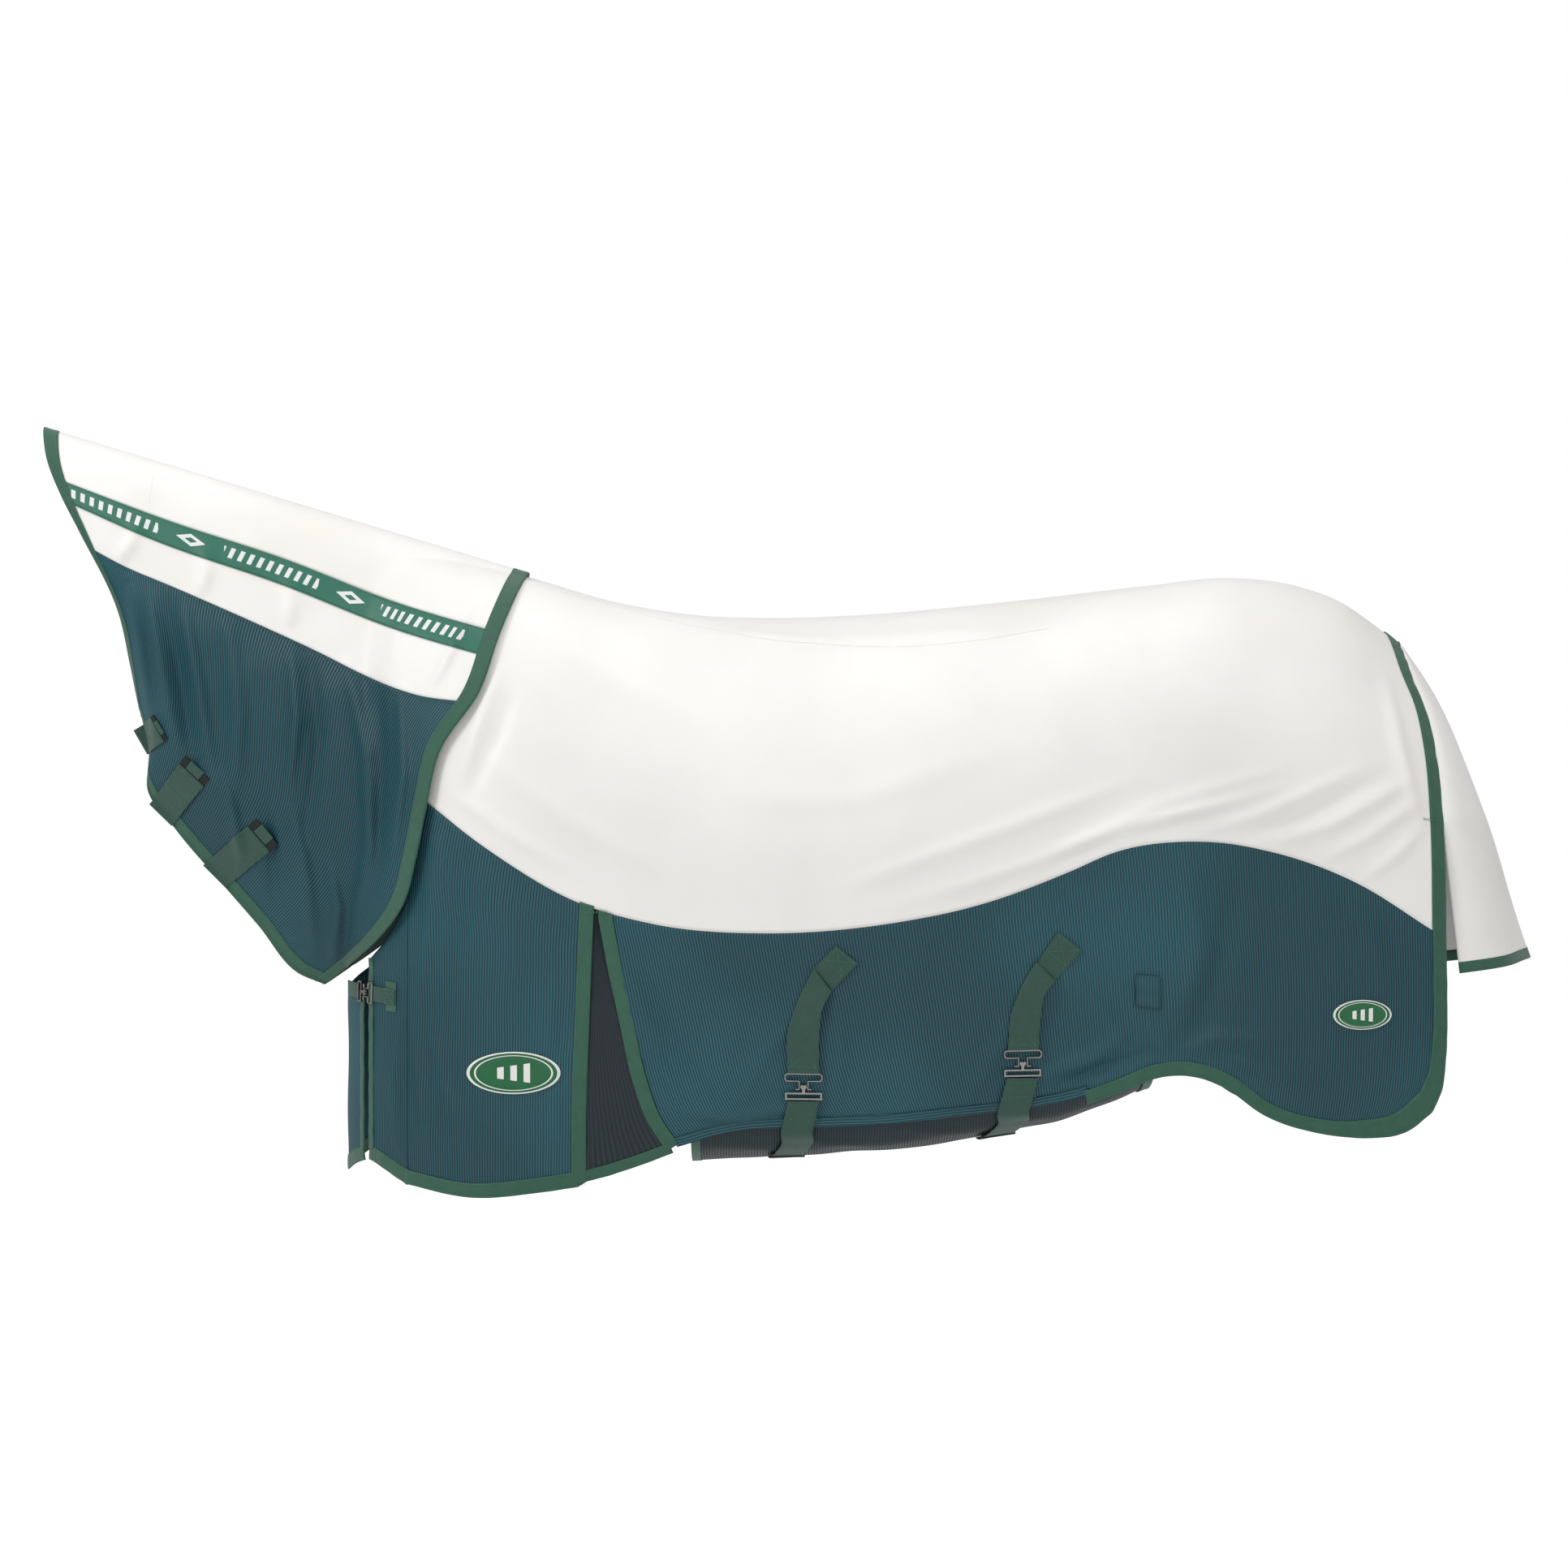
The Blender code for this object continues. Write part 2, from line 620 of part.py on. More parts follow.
def neck_cover():
    white = material("white_polyester", WHITE)
    green = material("green_binding", GREEN)
    looks = [white, green, white, material("teal_mesh", MESH), green]
    edge = BINDING / CREST_LENGTH
    columns = np.linspace(edge, 1 - edge, NECK_COLUMNS)
    for (name, low, high, rows), look in zip(NECK_BANDS, looks):
        right = neck_grid(columns, low, high, rows, RIGHT)
        if low is crest_row:
            cloth(name, pulled_in(both_sides(right), SEAM_GAP / 2), look)
            continue
        right = pulled_in(right, SEAM_GAP / 2)
        cloth(f"{name}_right", right, look)
        cloth(f"{name}_left", right * (1, -1, 1), look, flip=True)
    for name, ends in (("neck_front_binding", (0.0, edge)), ("neck_back_binding", (1 - edge, 1.0))):
        bands = [neck_grid(ends, low, high, rows, RIGHT) for _, low, high, rows in NECK_BANDS]
        half = np.concatenate([bands[0]] + [band[:, 1:] for band in bands[1:]], axis=1)
        cloth(name, pulled_in(both_sides(half), SEAM_GAP / 2), green)


# ---------------------------------------------------------------------------------------------
# Belly wrap
# ---------------------------------------------------------------------------------------------

WRAP_START, WRAP_END = -0.14, 0.60
WRAP_LAP = 0.012
WRAP_CLEARANCE = profile([(0.30, 0.009), (0.48, 0.014), (0.60, 0.016)])
WRAP_SEWN_LAP = 0.012
WRAP_SEWN_GAP = 0.0012
WRAP_FOOT = profile([
    (-0.15, -0.894), (-0.027, -0.889), (0.12, -0.880), (0.255, -0.869), (0.363, -0.849),
    (0.457, -0.831), (0.551, -0.795), (0.60, -0.775),
])
WRAP_COLUMNS, WRAP_ROWS = 15, 13


def wrap(x, t, out=0.0):
    """A point of the wrap: t is -1 at its free edge on the left, 0 under the belly, 1 at its sewn edge."""
    hem = HEM(x)
    edge_z = hem + (WRAP_LAP if t < 0 else WRAP_SEWN_LAP)
    edge_y = trunk_half_width(x, edge_z) - (WRAP_CLEARANCE(x) if t < 0 else CLOTH + WRAP_SEWN_GAP)
    angle = abs(t) * math.pi / 2
    y = math.copysign(edge_y * math.sin(angle), t)
    z = WRAP_FOOT(x) + (edge_z - WRAP_FOOT(x)) * (1 - math.cos(angle))
    point = np.array([x * LONG, y, z * DROP])
    if out:
        step = 0.02
        normal = np.cross(wrap(x + step, t) - wrap(x - step, t), wrap(x, t + step) - wrap(x, t - step))
        point += normal / np.linalg.norm(normal) * -out
    return point


def belly_wrap():
    places = np.linspace(WRAP_START, WRAP_END, WRAP_COLUMNS)
    turns = np.linspace(-1, 1, WRAP_ROWS)
    grid = np.array([[wrap(x, t) for t in turns] for x in places])
    cloth("belly_wrap", grid, material("teal_mesh", MESH))


# ---------------------------------------------------------------------------------------------
# Straps and their fittings
# ---------------------------------------------------------------------------------------------

STRAP_OUT = CLOTH / 2 + STRAP_CLEARANCE + WEBBING_THICK / 2 + FACET_ALLOWANCE
UPPER_OUT = STRAP_OUT + WEBBING_THICK + STRAP_CLEARANCE
# Each belly strap: its sewn end, its fold, its clip and the end of its lower strap, as (x, z) or x.
BELLY_STRAPS = {
    "front": {"sewn": (0.107, -0.550), "fold": (0.050, -0.602), "clip": (0.0395, -0.734), "foot_x": 0.006},
    "rear": {"sewn": (0.468, -0.523), "fold": (0.412, -0.574), "clip": (0.389, -0.696), "foot_x": 0.345},
}
FOLD_SHIFT = 0.004
PAST_HEM = 0.006
LOWER_STRAP_ROWS = (-0.66, -0.58, -0.50, -0.36)
LOWER_STRAP_END = -0.31
LOWER_STRAP_OUT = 0.0078
SLIDER_WALL = 0.0022
SLIDER_DEPTH = 0.004
CLIP_LENGTH = 2 * (FITTING_GAP + FITTING_HEIGHT) + FITTING_WIRE + POST_LENGTH + STEM_LENGTH


def patch(name, corners, side, look, out, thick=WEBBING_THICK, columns=3, rows=3):
    """A flat piece laid on the form, from its corners: upper left, upper right, lower right, lower left."""
    a, b, c, d = (np.array(laid(x, z)) for x, z in corners)
    top, foot = np.linspace(a, b, columns), np.linspace(d, c, columns)
    grid = coons(top, foot, np.linspace(a, d, rows), np.linspace(b, c, rows))
    grid = np.array([[on_trunk(xi, g, side, out) for xi, g in column] for column in grid])
    return cloth(name, grid, look, thick, flip=side == RIGHT)


def clip_frame(xi, g, way, out):
    """The middle of a clip on the left side. It reads along the pull, across it, and out from the form."""
    step = 0.004
    centre = on_trunk(xi, g, LEFT, out)
    pull = on_trunk(xi + way[0] * step, g + way[1] * step, LEFT, out) - centre
    normal = on_trunk(xi, g, LEFT, out + step) - centre
    pull, normal = Vector(pull).normalized(), Vector(normal).normalized()
    across = normal.cross(pull)
    frame = Matrix((pull, across, normal)).transposed().to_4x4()
    frame.translation = Vector(centre)
    return frame


def stretch(xi, g, way):
    """The real length on the form for each unit of its places, the given way."""
    step = 0.01
    return np.linalg.norm(trunk(xi + way[0] * step, g + way[1] * step, LEFT) - trunk(xi, g, LEFT)) / step


def hook(name, frame, width):
    """The upper half of a clip: one bent wire, a loop for the strap with two posts and their feet."""
    start = -CLIP_LENGTH / 2 + FITTING_GAP + FITTING_WIRE
    bar = start + FITTING_HEIGHT
    foot = bar + POST_LENGTH
    half, post = width / 2 + FITTING_ROOM, POST_GAP / 2
    side = [(foot, post + FOOT_LENGTH), (foot, post), (bar, post), (bar, half - WIRE_CORNER),
            (bar - WIRE_CORNER, half), (start + WIRE_CORNER, half), (start, half - WIRE_CORNER)]
    points = side + [(along, -across) for along, across in reversed(side)]
    curve = bpy.data.curves.new(name, "CURVE")
    curve.dimensions = "3D"
    curve.bevel_depth = FITTING_WIRE
    curve.bevel_resolution = 1
    curve.use_fill_caps = True
    spline = curve.splines.new("POLY")
    spline.points.add(len(points) - 1)
    for point, (along, across) in zip(spline.points, points):
        point.co = (along, across, 0, 1)
    add(name, curve, material("dark_nickel", METAL, 0.3, 1.0)).matrix_world = frame


def plate(name, frame, outlines, thick, look):
    """A flat plate from closed outlines, the first round its edge and the others round its slots."""
    curve = bpy.data.curves.new(name, "CURVE")
    curve.dimensions = "2D"
    curve.fill_mode = "BOTH"
    curve.extrude = thick / 2
    for points in outlines:
        spline = curve.splines.new("POLY")
        spline.use_cyclic_u = True
        spline.points.add(len(points) - 1)
        for point, (along, across) in zip(spline.points, points):
            point.co = (along, across, 0, 1)
    add(name, curve, look).matrix_world = frame


def rectangle(low, high, half):
    return [(low, -half), (high, -half), (high, half), (low, half)]


def catch(name, frame, width):
    """The lower half of a clip: a plate with a slot for the strap, and a heart that sits between the posts."""
    end = CLIP_LENGTH / 2 - FITTING_GAP
    start = end - FITTING_HEIGHT
    half = width / 2 + FITTING_ROOM
    lobe = BOSS_WIDTH / 4
    point = start - STEM_LENGTH
    shoulder = point - HEART_HEIGHT * 1.5
    crown = shoulder - HEART_HEIGHT
    side = [(end, half), (start, half), (start, STEM_HALF), (point, STEM_HALF), (shoulder, BOSS_WIDTH / 2)]
    for turn in np.radians(np.linspace(0, 180, 5))[:-1]:
        side.append((crown - lobe * math.sin(turn), lobe + lobe * math.cos(turn)))
    outline = side + [(crown + HEART_DIP, 0)] + [(along, -across) for along, across in reversed(side)]
    slot = rectangle(start + CATCH_WALL, end - CATCH_WALL, half - CATCH_WALL)
    plate(name, frame, [outline, slot], CATCH_THICK, material("dark_nickel", METAL, 0.3, 1.0))


def belly_strap(word, plan):
    strap = material("green_webbing", STRAP)
    sewn, fold = np.array(plan["sewn"]), np.array(plan["fold"])
    way = (fold - sewn) / np.linalg.norm(fold - sewn)
    across = np.array([-way[1], way[0]]) * WEBBING / 2
    corners = [sewn - across, sewn + across, fold + across, fold - across]
    patch(f"belly_strap_anchor_{word}", corners, LEFT, strap, STRAP_OUT)
    x, z = plan["clip"]
    half = WEBBING / 2
    top_x, top_z = fold[0] - FOLD_SHIFT, fold[1]
    corners = [(top_x - half, top_z), (top_x + half, top_z), (x + half, z), (x - half, z)]
    patch(f"belly_strap_upper_{word}", corners, LEFT, strap, UPPER_OUT, rows=4)

    xi, g = laid(x, z)
    reach = CLIP_LENGTH / stretch(xi, g, (0, 1))
    frame = clip_frame(xi, g + reach / 2, (0, 1), UPPER_OUT)
    hook(f"belly_hook_{word}", frame, WEBBING)
    catch(f"belly_catch_{word}", frame, WEBBING)

    drops = np.linspace(g + reach, laid(x, HEM(x))[1] + PAST_HEM, 3)
    foot_x = plan["foot_x"]
    places = np.linspace(x, foot_x, len(drops) + len(LOWER_STRAP_ROWS) + 1)
    lines = []
    for aside in (-half, 0, half):
        line = [np.array(frame @ Vector((CLIP_LENGTH / 2, aside, 0)))]
        for place, drop in zip(places[1:], drops[1:]):
            line.append(on_trunk(place + aside / LONG, drop, LEFT, UPPER_OUT))
        line += [wrap(place + aside / LONG, t, LOWER_STRAP_OUT) for place, t in zip(places[3:], LOWER_STRAP_ROWS)]
        lines.append(line + [wrap(foot_x + aside / LONG, LOWER_STRAP_END, STRAP_OUT)])
    cloth(f"belly_strap_lower_{word}", np.array(lines), strap, WEBBING_THICK)

    left, middle, right = lines
    before, after = Vector(middle[-3]), Vector(middle[-2])
    pull = (after - before).normalized()
    side = Vector(right[-3] + right[-2] - left[-3] - left[-2])
    side = (side - pull * side.dot(pull)).normalized()
    ring = Matrix((side, pull.cross(side), pull)).transposed().to_4x4()
    ring.translation = before.lerp(after, 0.5)
    deep = WEBBING_THICK / 2 + TAPE_CLEARANCE
    wide = WEBBING / 2 + TAPE_CLEARANCE * 2
    outer = rectangle(-wide - SLIDER_WALL, wide + SLIDER_WALL, deep + SLIDER_WALL)
    black = material("black_plastic", BLACK, 0.4)
    plate(f"belly_slider_{word}", ring, [outer, rectangle(-wide, wide, deep)], SLIDER_DEPTH, black)


CHEST_CLIP_ANGLE = 51.5
CHEST_CLIP_Z = -0.6145
CHEST_STRAP_REACH = 0.060
CHEST_STRAP_TAB = 0.016
CHEST_PATCH_START = 0.030
CHEST_PATCH_END = 0.052
CHEST_PATCH_HALF = 0.024
CHEST_ARC_ALLOWANCE = 0.0004
CHEST_CLIP_RISE = 0.0014


def chest_closure():
    """The left strap with its hook, and the right strap, which comes round the front, with its catch."""
    strap = material("green_webbing", STRAP)
    start = CHEST_TURN - CHEST_CLIP_ANGLE / 90 * CHEST_GIRTH
    g = chest_place(CHEST_CLIP_ANGLE, CHEST_CLIP_Z)[1]
    half = CHEST_WEBBING / 2
    widths = [(0, half), (CHEST_STRAP_TAB, half), (CHEST_PATCH_START, CHEST_PATCH_HALF),
              (CHEST_PATCH_END, CHEST_PATCH_HALF)]
    grid = np.array([[on_trunk(start + along, g + across, LEFT, STRAP_OUT) for across in (-wide, wide)]
                     for along, wide in widths])
    cloth("chest_strap_left", grid, strap, WEBBING_THICK)
    reach = (CLIP_LENGTH + CHEST_ARC_ALLOWANCE) / stretch(start - CLIP_LENGTH / 2, g, (-1, 0))
    frame = clip_frame(start - reach / 2, g, (-1, 0), STRAP_OUT + CHEST_CLIP_RISE)
    hook("chest_hook", frame, CHEST_WEBBING)
    catch("chest_catch", frame, CHEST_WEBBING)
    far = start - reach
    places = np.linspace(far, far - CHEST_STRAP_REACH, 5)
    grid = np.array([[on_trunk(xi, at, LEFT, STRAP_OUT) for at in (g - half, g + half)] for xi in places])
    cloth("chest_strap_right", grid, strap, WEBBING_THICK)


# ---------------------------------------------------------------------------------------------
# Throat tabs, badges and patches
# ---------------------------------------------------------------------------------------------

# Each tab: the corners of its free end, upper and lower, those at the throat, lower and upper, and
# its height above the cover.
THROAT_TABS = {
    "upper": [(-1.030, -0.163), (-1.006, -0.203), (-1.045, -0.226), (-1.068, -0.186), 0.0044],
    "middle": [(-0.980, -0.236), (-0.939, -0.273), (-1.005, -0.344), (-1.042, -0.308), 0.0029],
    "lower": [(-0.865, -0.338), (-0.829, -0.381), (-0.916, -0.446), (-0.953, -0.409), 0.0023],
}
TAB_LIFT_LIMIT = 0.012
TAB_NEAREST = 0.0115
TAB_COLUMNS, TAB_ROWS = 7, 4
# Each badge: the place of its centre, its half length, half height and height above the cloth.
SHOULDER_BADGE = (-0.425, -0.737, 0.075, 0.034, 0.0022)
HAUNCH_BADGE = (0.934, -0.644, 0.048, 0.024, 0.0014)
LEG_PATCH = [(0.568, -0.577), (0.607, -0.581), (0.609, -0.634), (0.568, -0.628)]


def neck_place(x, z):
    """The (u, q) of the neck cover's point nearest a drawn (x, z)."""
    u, q, step = 0.3, 0.9, 1e-4
    for _ in range(12):
        here = np.array(neck_flat(u, q))
        beside, above = neck_flat(u + step, q), neck_flat(u, q - step)
        slopes = np.stack([np.array(beside) - here, np.array(above) - here]).T
        move = np.linalg.lstsq(slopes / (step, -step), np.array([x, z]) - here, rcond=None)[0]
        u, q = np.clip(u + move[0], 0.0, 1.0), np.clip(q + move[1], 0.01, 1.0)
    return u, q


def tab_lift(u, q, out):
    """How far sideways a tab lies from the cover, for a height out square to it."""
    step = 0.01
    at = min(max(u, step), 1 - step), min(q, 1 - 2 * step)
    along = neck(at[0] + step, at[1], LEFT) - neck(at[0] - step, at[1], LEFT)
    down = neck(at[0], at[1] + step, LEFT) - neck(at[0], at[1] - step, LEFT)
    normal = np.cross(along, down)
    return min(out * np.linalg.norm(normal) / abs(normal[1]), TAB_LIFT_LIMIT)


def throat_tab(word, plan):
    a, b, c, d = (np.array(corner) for corner in plan[:4])
    long_sides = np.linspace(a, d, TAB_COLUMNS), np.linspace(b, c, TAB_COLUMNS)
    flat = coons(*long_sides, np.linspace(a, b, TAB_ROWS), np.linspace(d, c, TAB_ROWS))
    grid = np.zeros((*flat.shape[:2], 3))
    for at in np.ndindex(*flat.shape[:2]):
        u, q = neck_place(*flat[at])
        shift = flat[at] - neck_flat(u, q)
        point = neck(u, q, LEFT) + [shift[0] * NECK_SHARE, 0, shift[1] * DROP]
        point[1] = -max(abs(point[1]) + tab_lift(u, q, plan[4]), TAB_NEAREST)
        grid[at] = point
    cloth(f"throat_tab_{word}", grid, material("green_webbing", STRAP), WEBBING_THICK)


def badge(name, plan, side):
    """An oval badge laid on the form."""
    x, z, long, high, out = plan
    turns = np.radians(np.linspace(0, 90, 6))

    def arc(first):
        angles = math.radians(first) + turns
        return np.stack([x + long * np.cos(angles), z + high * np.sin(angles)], axis=1)

    top, foot = arc(45)[::-1], arc(225)
    start, end = arc(135), arc(-45)[::-1]
    flat = coons(top, foot, start, end)
    out += CLOTH / 2
    grid = np.array([[on_trunk(*laid(*point), side, out) for point in column] for column in flat])
    cloth(name, grid, material("badge", BADGE), BADGE_THICK, flip=side == RIGHT)


def trim():
    for word, plan in THROAT_TABS.items():
        throat_tab(word, plan)
    for side, word in ((LEFT, "left"), (RIGHT, "right")):
        badge(f"shoulder_badge_{word}", SHOULDER_BADGE, side)
        badge(f"haunch_badge_{word}", HAUNCH_BADGE, side)
        patch(f"leg_strap_patch_{word}", LEG_PATCH, side, material("teal_mesh", MESH), STRAP_OUT)


for side, word in ((LEFT, "left"), (RIGHT, "right")):
    body_sheet(side, word)
front_flap(LEFT, "left", chest_angle(FLAP_EDGE_X), FLAP_COLUMNS)
front_flap(RIGHT, "right", FAR_FLAP_END, FAR_FLAP_COLUMNS)
tail()
neck_cover()
belly_wrap()
for word, plan in BELLY_STRAPS.items():
    belly_strap(word, plan)
chest_closure()
trim()
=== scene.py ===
"""Looks of the fly sheet: cloth panels, tapes, webbing, clips, badges and stitching on its CAD frame."""

import math

import bmesh
import bpy
import numpy as np
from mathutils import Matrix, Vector


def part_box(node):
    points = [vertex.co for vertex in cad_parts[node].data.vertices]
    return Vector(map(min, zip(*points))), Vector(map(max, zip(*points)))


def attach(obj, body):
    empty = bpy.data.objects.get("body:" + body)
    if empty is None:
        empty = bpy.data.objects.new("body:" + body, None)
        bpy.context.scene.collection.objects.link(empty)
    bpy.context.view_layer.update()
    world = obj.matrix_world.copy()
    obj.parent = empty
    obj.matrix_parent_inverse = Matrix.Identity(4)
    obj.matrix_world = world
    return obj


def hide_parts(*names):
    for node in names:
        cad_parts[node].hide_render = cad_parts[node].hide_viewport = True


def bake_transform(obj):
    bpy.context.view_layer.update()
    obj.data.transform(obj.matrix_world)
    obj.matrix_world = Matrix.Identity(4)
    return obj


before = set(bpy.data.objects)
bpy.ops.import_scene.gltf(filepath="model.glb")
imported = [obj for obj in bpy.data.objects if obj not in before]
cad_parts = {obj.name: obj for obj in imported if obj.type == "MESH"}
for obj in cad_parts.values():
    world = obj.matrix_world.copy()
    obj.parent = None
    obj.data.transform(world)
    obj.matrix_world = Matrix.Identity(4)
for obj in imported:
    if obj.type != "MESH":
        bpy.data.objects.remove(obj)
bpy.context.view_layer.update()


LEFT, RIGHT = -1, 1


# ---------------------------------------------------------------------------------------------
# Finishes
# ---------------------------------------------------------------------------------------------


def srgb(red, green, blue):
    """A linear colour from its everyday 0 to 255 values."""
    shares = [c / 255 for c in (red, green, blue)]
    return [s / 12.92 if s <= 0.04045 else ((s + 0.055) / 1.055) ** 2.4 for s in shares] + [1.0]


class Finish:
    """A material under construction: its node tree, with short calls for the nodes that it needs."""

    def __init__(self, name, **sockets):
        self.material = bpy.data.materials.new(name)
        self.material.use_nodes = True
        self.tree = self.material.node_tree
        self.shader = self.tree.nodes["Principled BSDF"]
        for socket, value in sockets.items():
            self.shader.inputs[socket.replace("_", " ")].default_value = value

    def node(self, kind, **settings):
        node = self.tree.nodes.new(kind)
        for setting, value in settings.items():
            setattr(node, setting, value)
        return node

    def link(self, source, target):
        self.tree.links.new(source, target)

    def feed(self, node, index, value):
        if isinstance(value, bpy.types.NodeSocket):
            self.link(value, node.inputs[index])
        else:
            node.inputs[index].default_value = value

    def math(self, operation, first, second=0.0, third=None):
        node = self.node("ShaderNodeMath", operation=operation)
        self.feed(node, 0, first)
        self.feed(node, 1, second)
        if third is not None:
            self.feed(node, 2, third)
        return node.outputs[0]

    def place(self):
        """The across and along of the piece's own UV map, in metres."""
        split = self.node("ShaderNodeSeparateXYZ")
        self.link(self.node("ShaderNodeUVMap", uv_map="cloth").outputs[0], split.inputs[0])
        return split.outputs[0], split.outputs[1]

    def point(self):
        return self.node("ShaderNodeTexCoord").outputs["Object"]

    def noise(self, scale, detail=3.0, rough=0.5, vector=None):
        node = self.node("ShaderNodeTexNoise")
        self.link(vector or self.point(), node.inputs["Vector"])
        node.inputs["Scale"].default_value = scale
        node.inputs["Detail"].default_value = detail
        node.inputs["Roughness"].default_value = rough
        return node.outputs["Fac"]

    def ribs(self, across, pitch):
        """A wave from 0 to 1, one for each pitch across."""
        turns = self.math("MULTIPLY", across, 2 * math.pi / pitch)
        return self.math("MULTIPLY_ADD", self.math("SINE", turns), 0.5, 0.5)

    def between(self, low, high, value):
        """A smooth step from 0 at low to 1 at high."""
        node = self.node("ShaderNodeMapRange", interpolation_type="SMOOTHSTEP")
        self.feed(node, 0, value)
        self.feed(node, 1, low)
        self.feed(node, 2, high)
        return node.outputs[0]

    def mix(self, factor, first, second):
        node = self.node("ShaderNodeMix", data_type="RGBA")
        self.feed(node, 0, factor)
        self.feed(node, 6, first)
        self.feed(node, 7, second)
        return node.outputs[2]

    def colour(self, value):
        self.link(value, self.shader.inputs["Base Color"])

    def bump(self, height, distance, strength=1.0):
        node = self.node("ShaderNodeBump")
        self.feed(node, "Height", height)
        node.inputs["Distance"].default_value = distance
        node.inputs["Strength"].default_value = strength
        self.link(node.outputs[0], self.shader.inputs["Normal"])

    def rough(self, low, high, value):
        node = self.node("ShaderNodeMapRange")
        self.feed(node, 0, value)
        node.inputs[3].default_value = low
        node.inputs[4].default_value = high
        self.link(node.outputs[0], self.shader.inputs["Roughness"])


RIB_PITCH = 0.0046
MESH_PITCH = 0.0023


def mesh_finish(name, dark, light, sheen=0.25):
    """Knitted fly mesh: vertical ribs with small holes between them, and the sheen of a fine yarn. Its colour
    carries painted light: the ribs lean to the lighter colour as a painted highlight, and the grooves and
    holes to the darker one as painted shade.
    """
    look = Finish(name, Roughness=0.5, Sheen_Weight=sheen, Sheen_Roughness=0.35)
    look.shader.inputs["Sheen Tint"].default_value = light
    across, along = look.place()
    wander = look.noise(9.0, 2.0)
    wavy = look.math("MULTIPLY_ADD", wander, 0.006, across)
    rib = look.ribs(wavy, RIB_PITCH)
    holes = look.math("MULTIPLY", look.ribs(along, MESH_PITCH), look.math("SUBTRACT", 1.0, rib))
    knit_relief_and_painted_light = look.math("SUBTRACT", rib, look.math("MULTIPLY", holes, 0.45))
    shade = look.math("MULTIPLY_ADD", look.between(0.36, 0.66, look.noise(2.1, 1.0)), 0.3, -0.15)
    # Painted light in the colour: ribs get the light colour as a painted highlight, holes and grooves the dark
    # one as painted shade; the shade noise adds broad patches lighter or darker at random.
    look.colour(look.mix(look.math("ADD", look.math("MULTIPLY_ADD", knit_relief_and_painted_light, 0.62, 0.12), shade), dark, light))
    look.bump(knit_relief_and_painted_light, 0.0006, 0.8)
    look.rough(0.62, 0.40, rib)
    return look.material


def polyester_finish(name, base, shade):
    """Fine plain-woven polyester, almost smooth, with a soft satin."""
    look = Finish(name, Roughness=0.55, Sheen_Weight=0.15, Sheen_Roughness=0.5)
    across, along = look.place()
    weave = look.math("ADD", look.ribs(across, 0.0011), look.ribs(along, 0.0011))
    soft = look.noise(3.5, 4.0)
    look.colour(look.mix(look.between(0.3, 0.75, soft), base, shade))
    height = look.math("MULTIPLY_ADD", weave, 0.08, look.math("MULTIPLY", look.noise(38.0, 3.0), 0.25))
    look.bump(height, 0.0004, 0.6)
    look.rough(0.46, 0.60, soft)
    return look.material


def webbing_finish(name, dark, light, rib, rough):
    """Woven tape or webbing: cross ribs along its length and a fine line down each edge cord."""
    look = Finish(name, Roughness=rough, Sheen_Weight=0.2)
    across, along = look.place()
    slant = look.math("MULTIPLY_ADD", look.ribs(across, rib * 3.2), 0.0006, along)
    weft = look.ribs(slant, rib)
    warp = look.ribs(across, rib * 1.6)
    weave = look.math("MULTIPLY_ADD", warp, 0.4, look.math("MULTIPLY", weft, 0.6))
    worn = look.noise(60.0, 2.0)
    lightness = look.math("MULTIPLY_ADD", worn, 0.35, look.math("MULTIPLY", weave, 0.5))
    look.colour(look.mix(lightness, dark, light))
    look.bump(weave, 0.0004, 0.9)
    look.rough(rough + 0.08, rough - 0.08, weave)
    return look.material


def metal_finish(name, tone, rough):
    look = Finish(name, Metallic=1.0, Roughness=rough)
    grain = look.noise(140.0, 3.0)
    look.colour(look.mix(grain, [t * 0.75 for t in tone[:3]] + [1], tone))
    look.rough(rough * 0.7, rough * 1.5, look.noise(45.0, 4.0))
    look.bump(grain, 0.00005, 0.3)
    return look.material


def plastic_finish(name, tone, rough):
    look = Finish(name, Roughness=rough)
    grain = look.noise(300.0, 2.0)
    look.colour(look.mix(grain, tone, [min(1, t * 1.35) for t in tone[:3]] + [1]))
    look.rough(rough * 0.8, rough * 1.2, look.noise(30.0, 3.0))
    look.bump(grain, 0.0001, 0.4)
    return look.material


def hook_tape_finish(name):
    """Hook-and-loop tape: a dark field of short stiff loops."""
    look = Finish(name, Roughness=0.85)
    cells = look.node("ShaderNodeTexVoronoi")
    look.link(look.point(), cells.inputs["Vector"])
    cells.inputs["Scale"].default_value = 700.0
    look.colour(look.mix(cells.outputs["Distance"], srgb(14, 17, 17), srgb(44, 49, 48)))
    look.bump(cells.outputs["Distance"], 0.0008)
    return look.material


STRIPE_PERIOD = 0.280


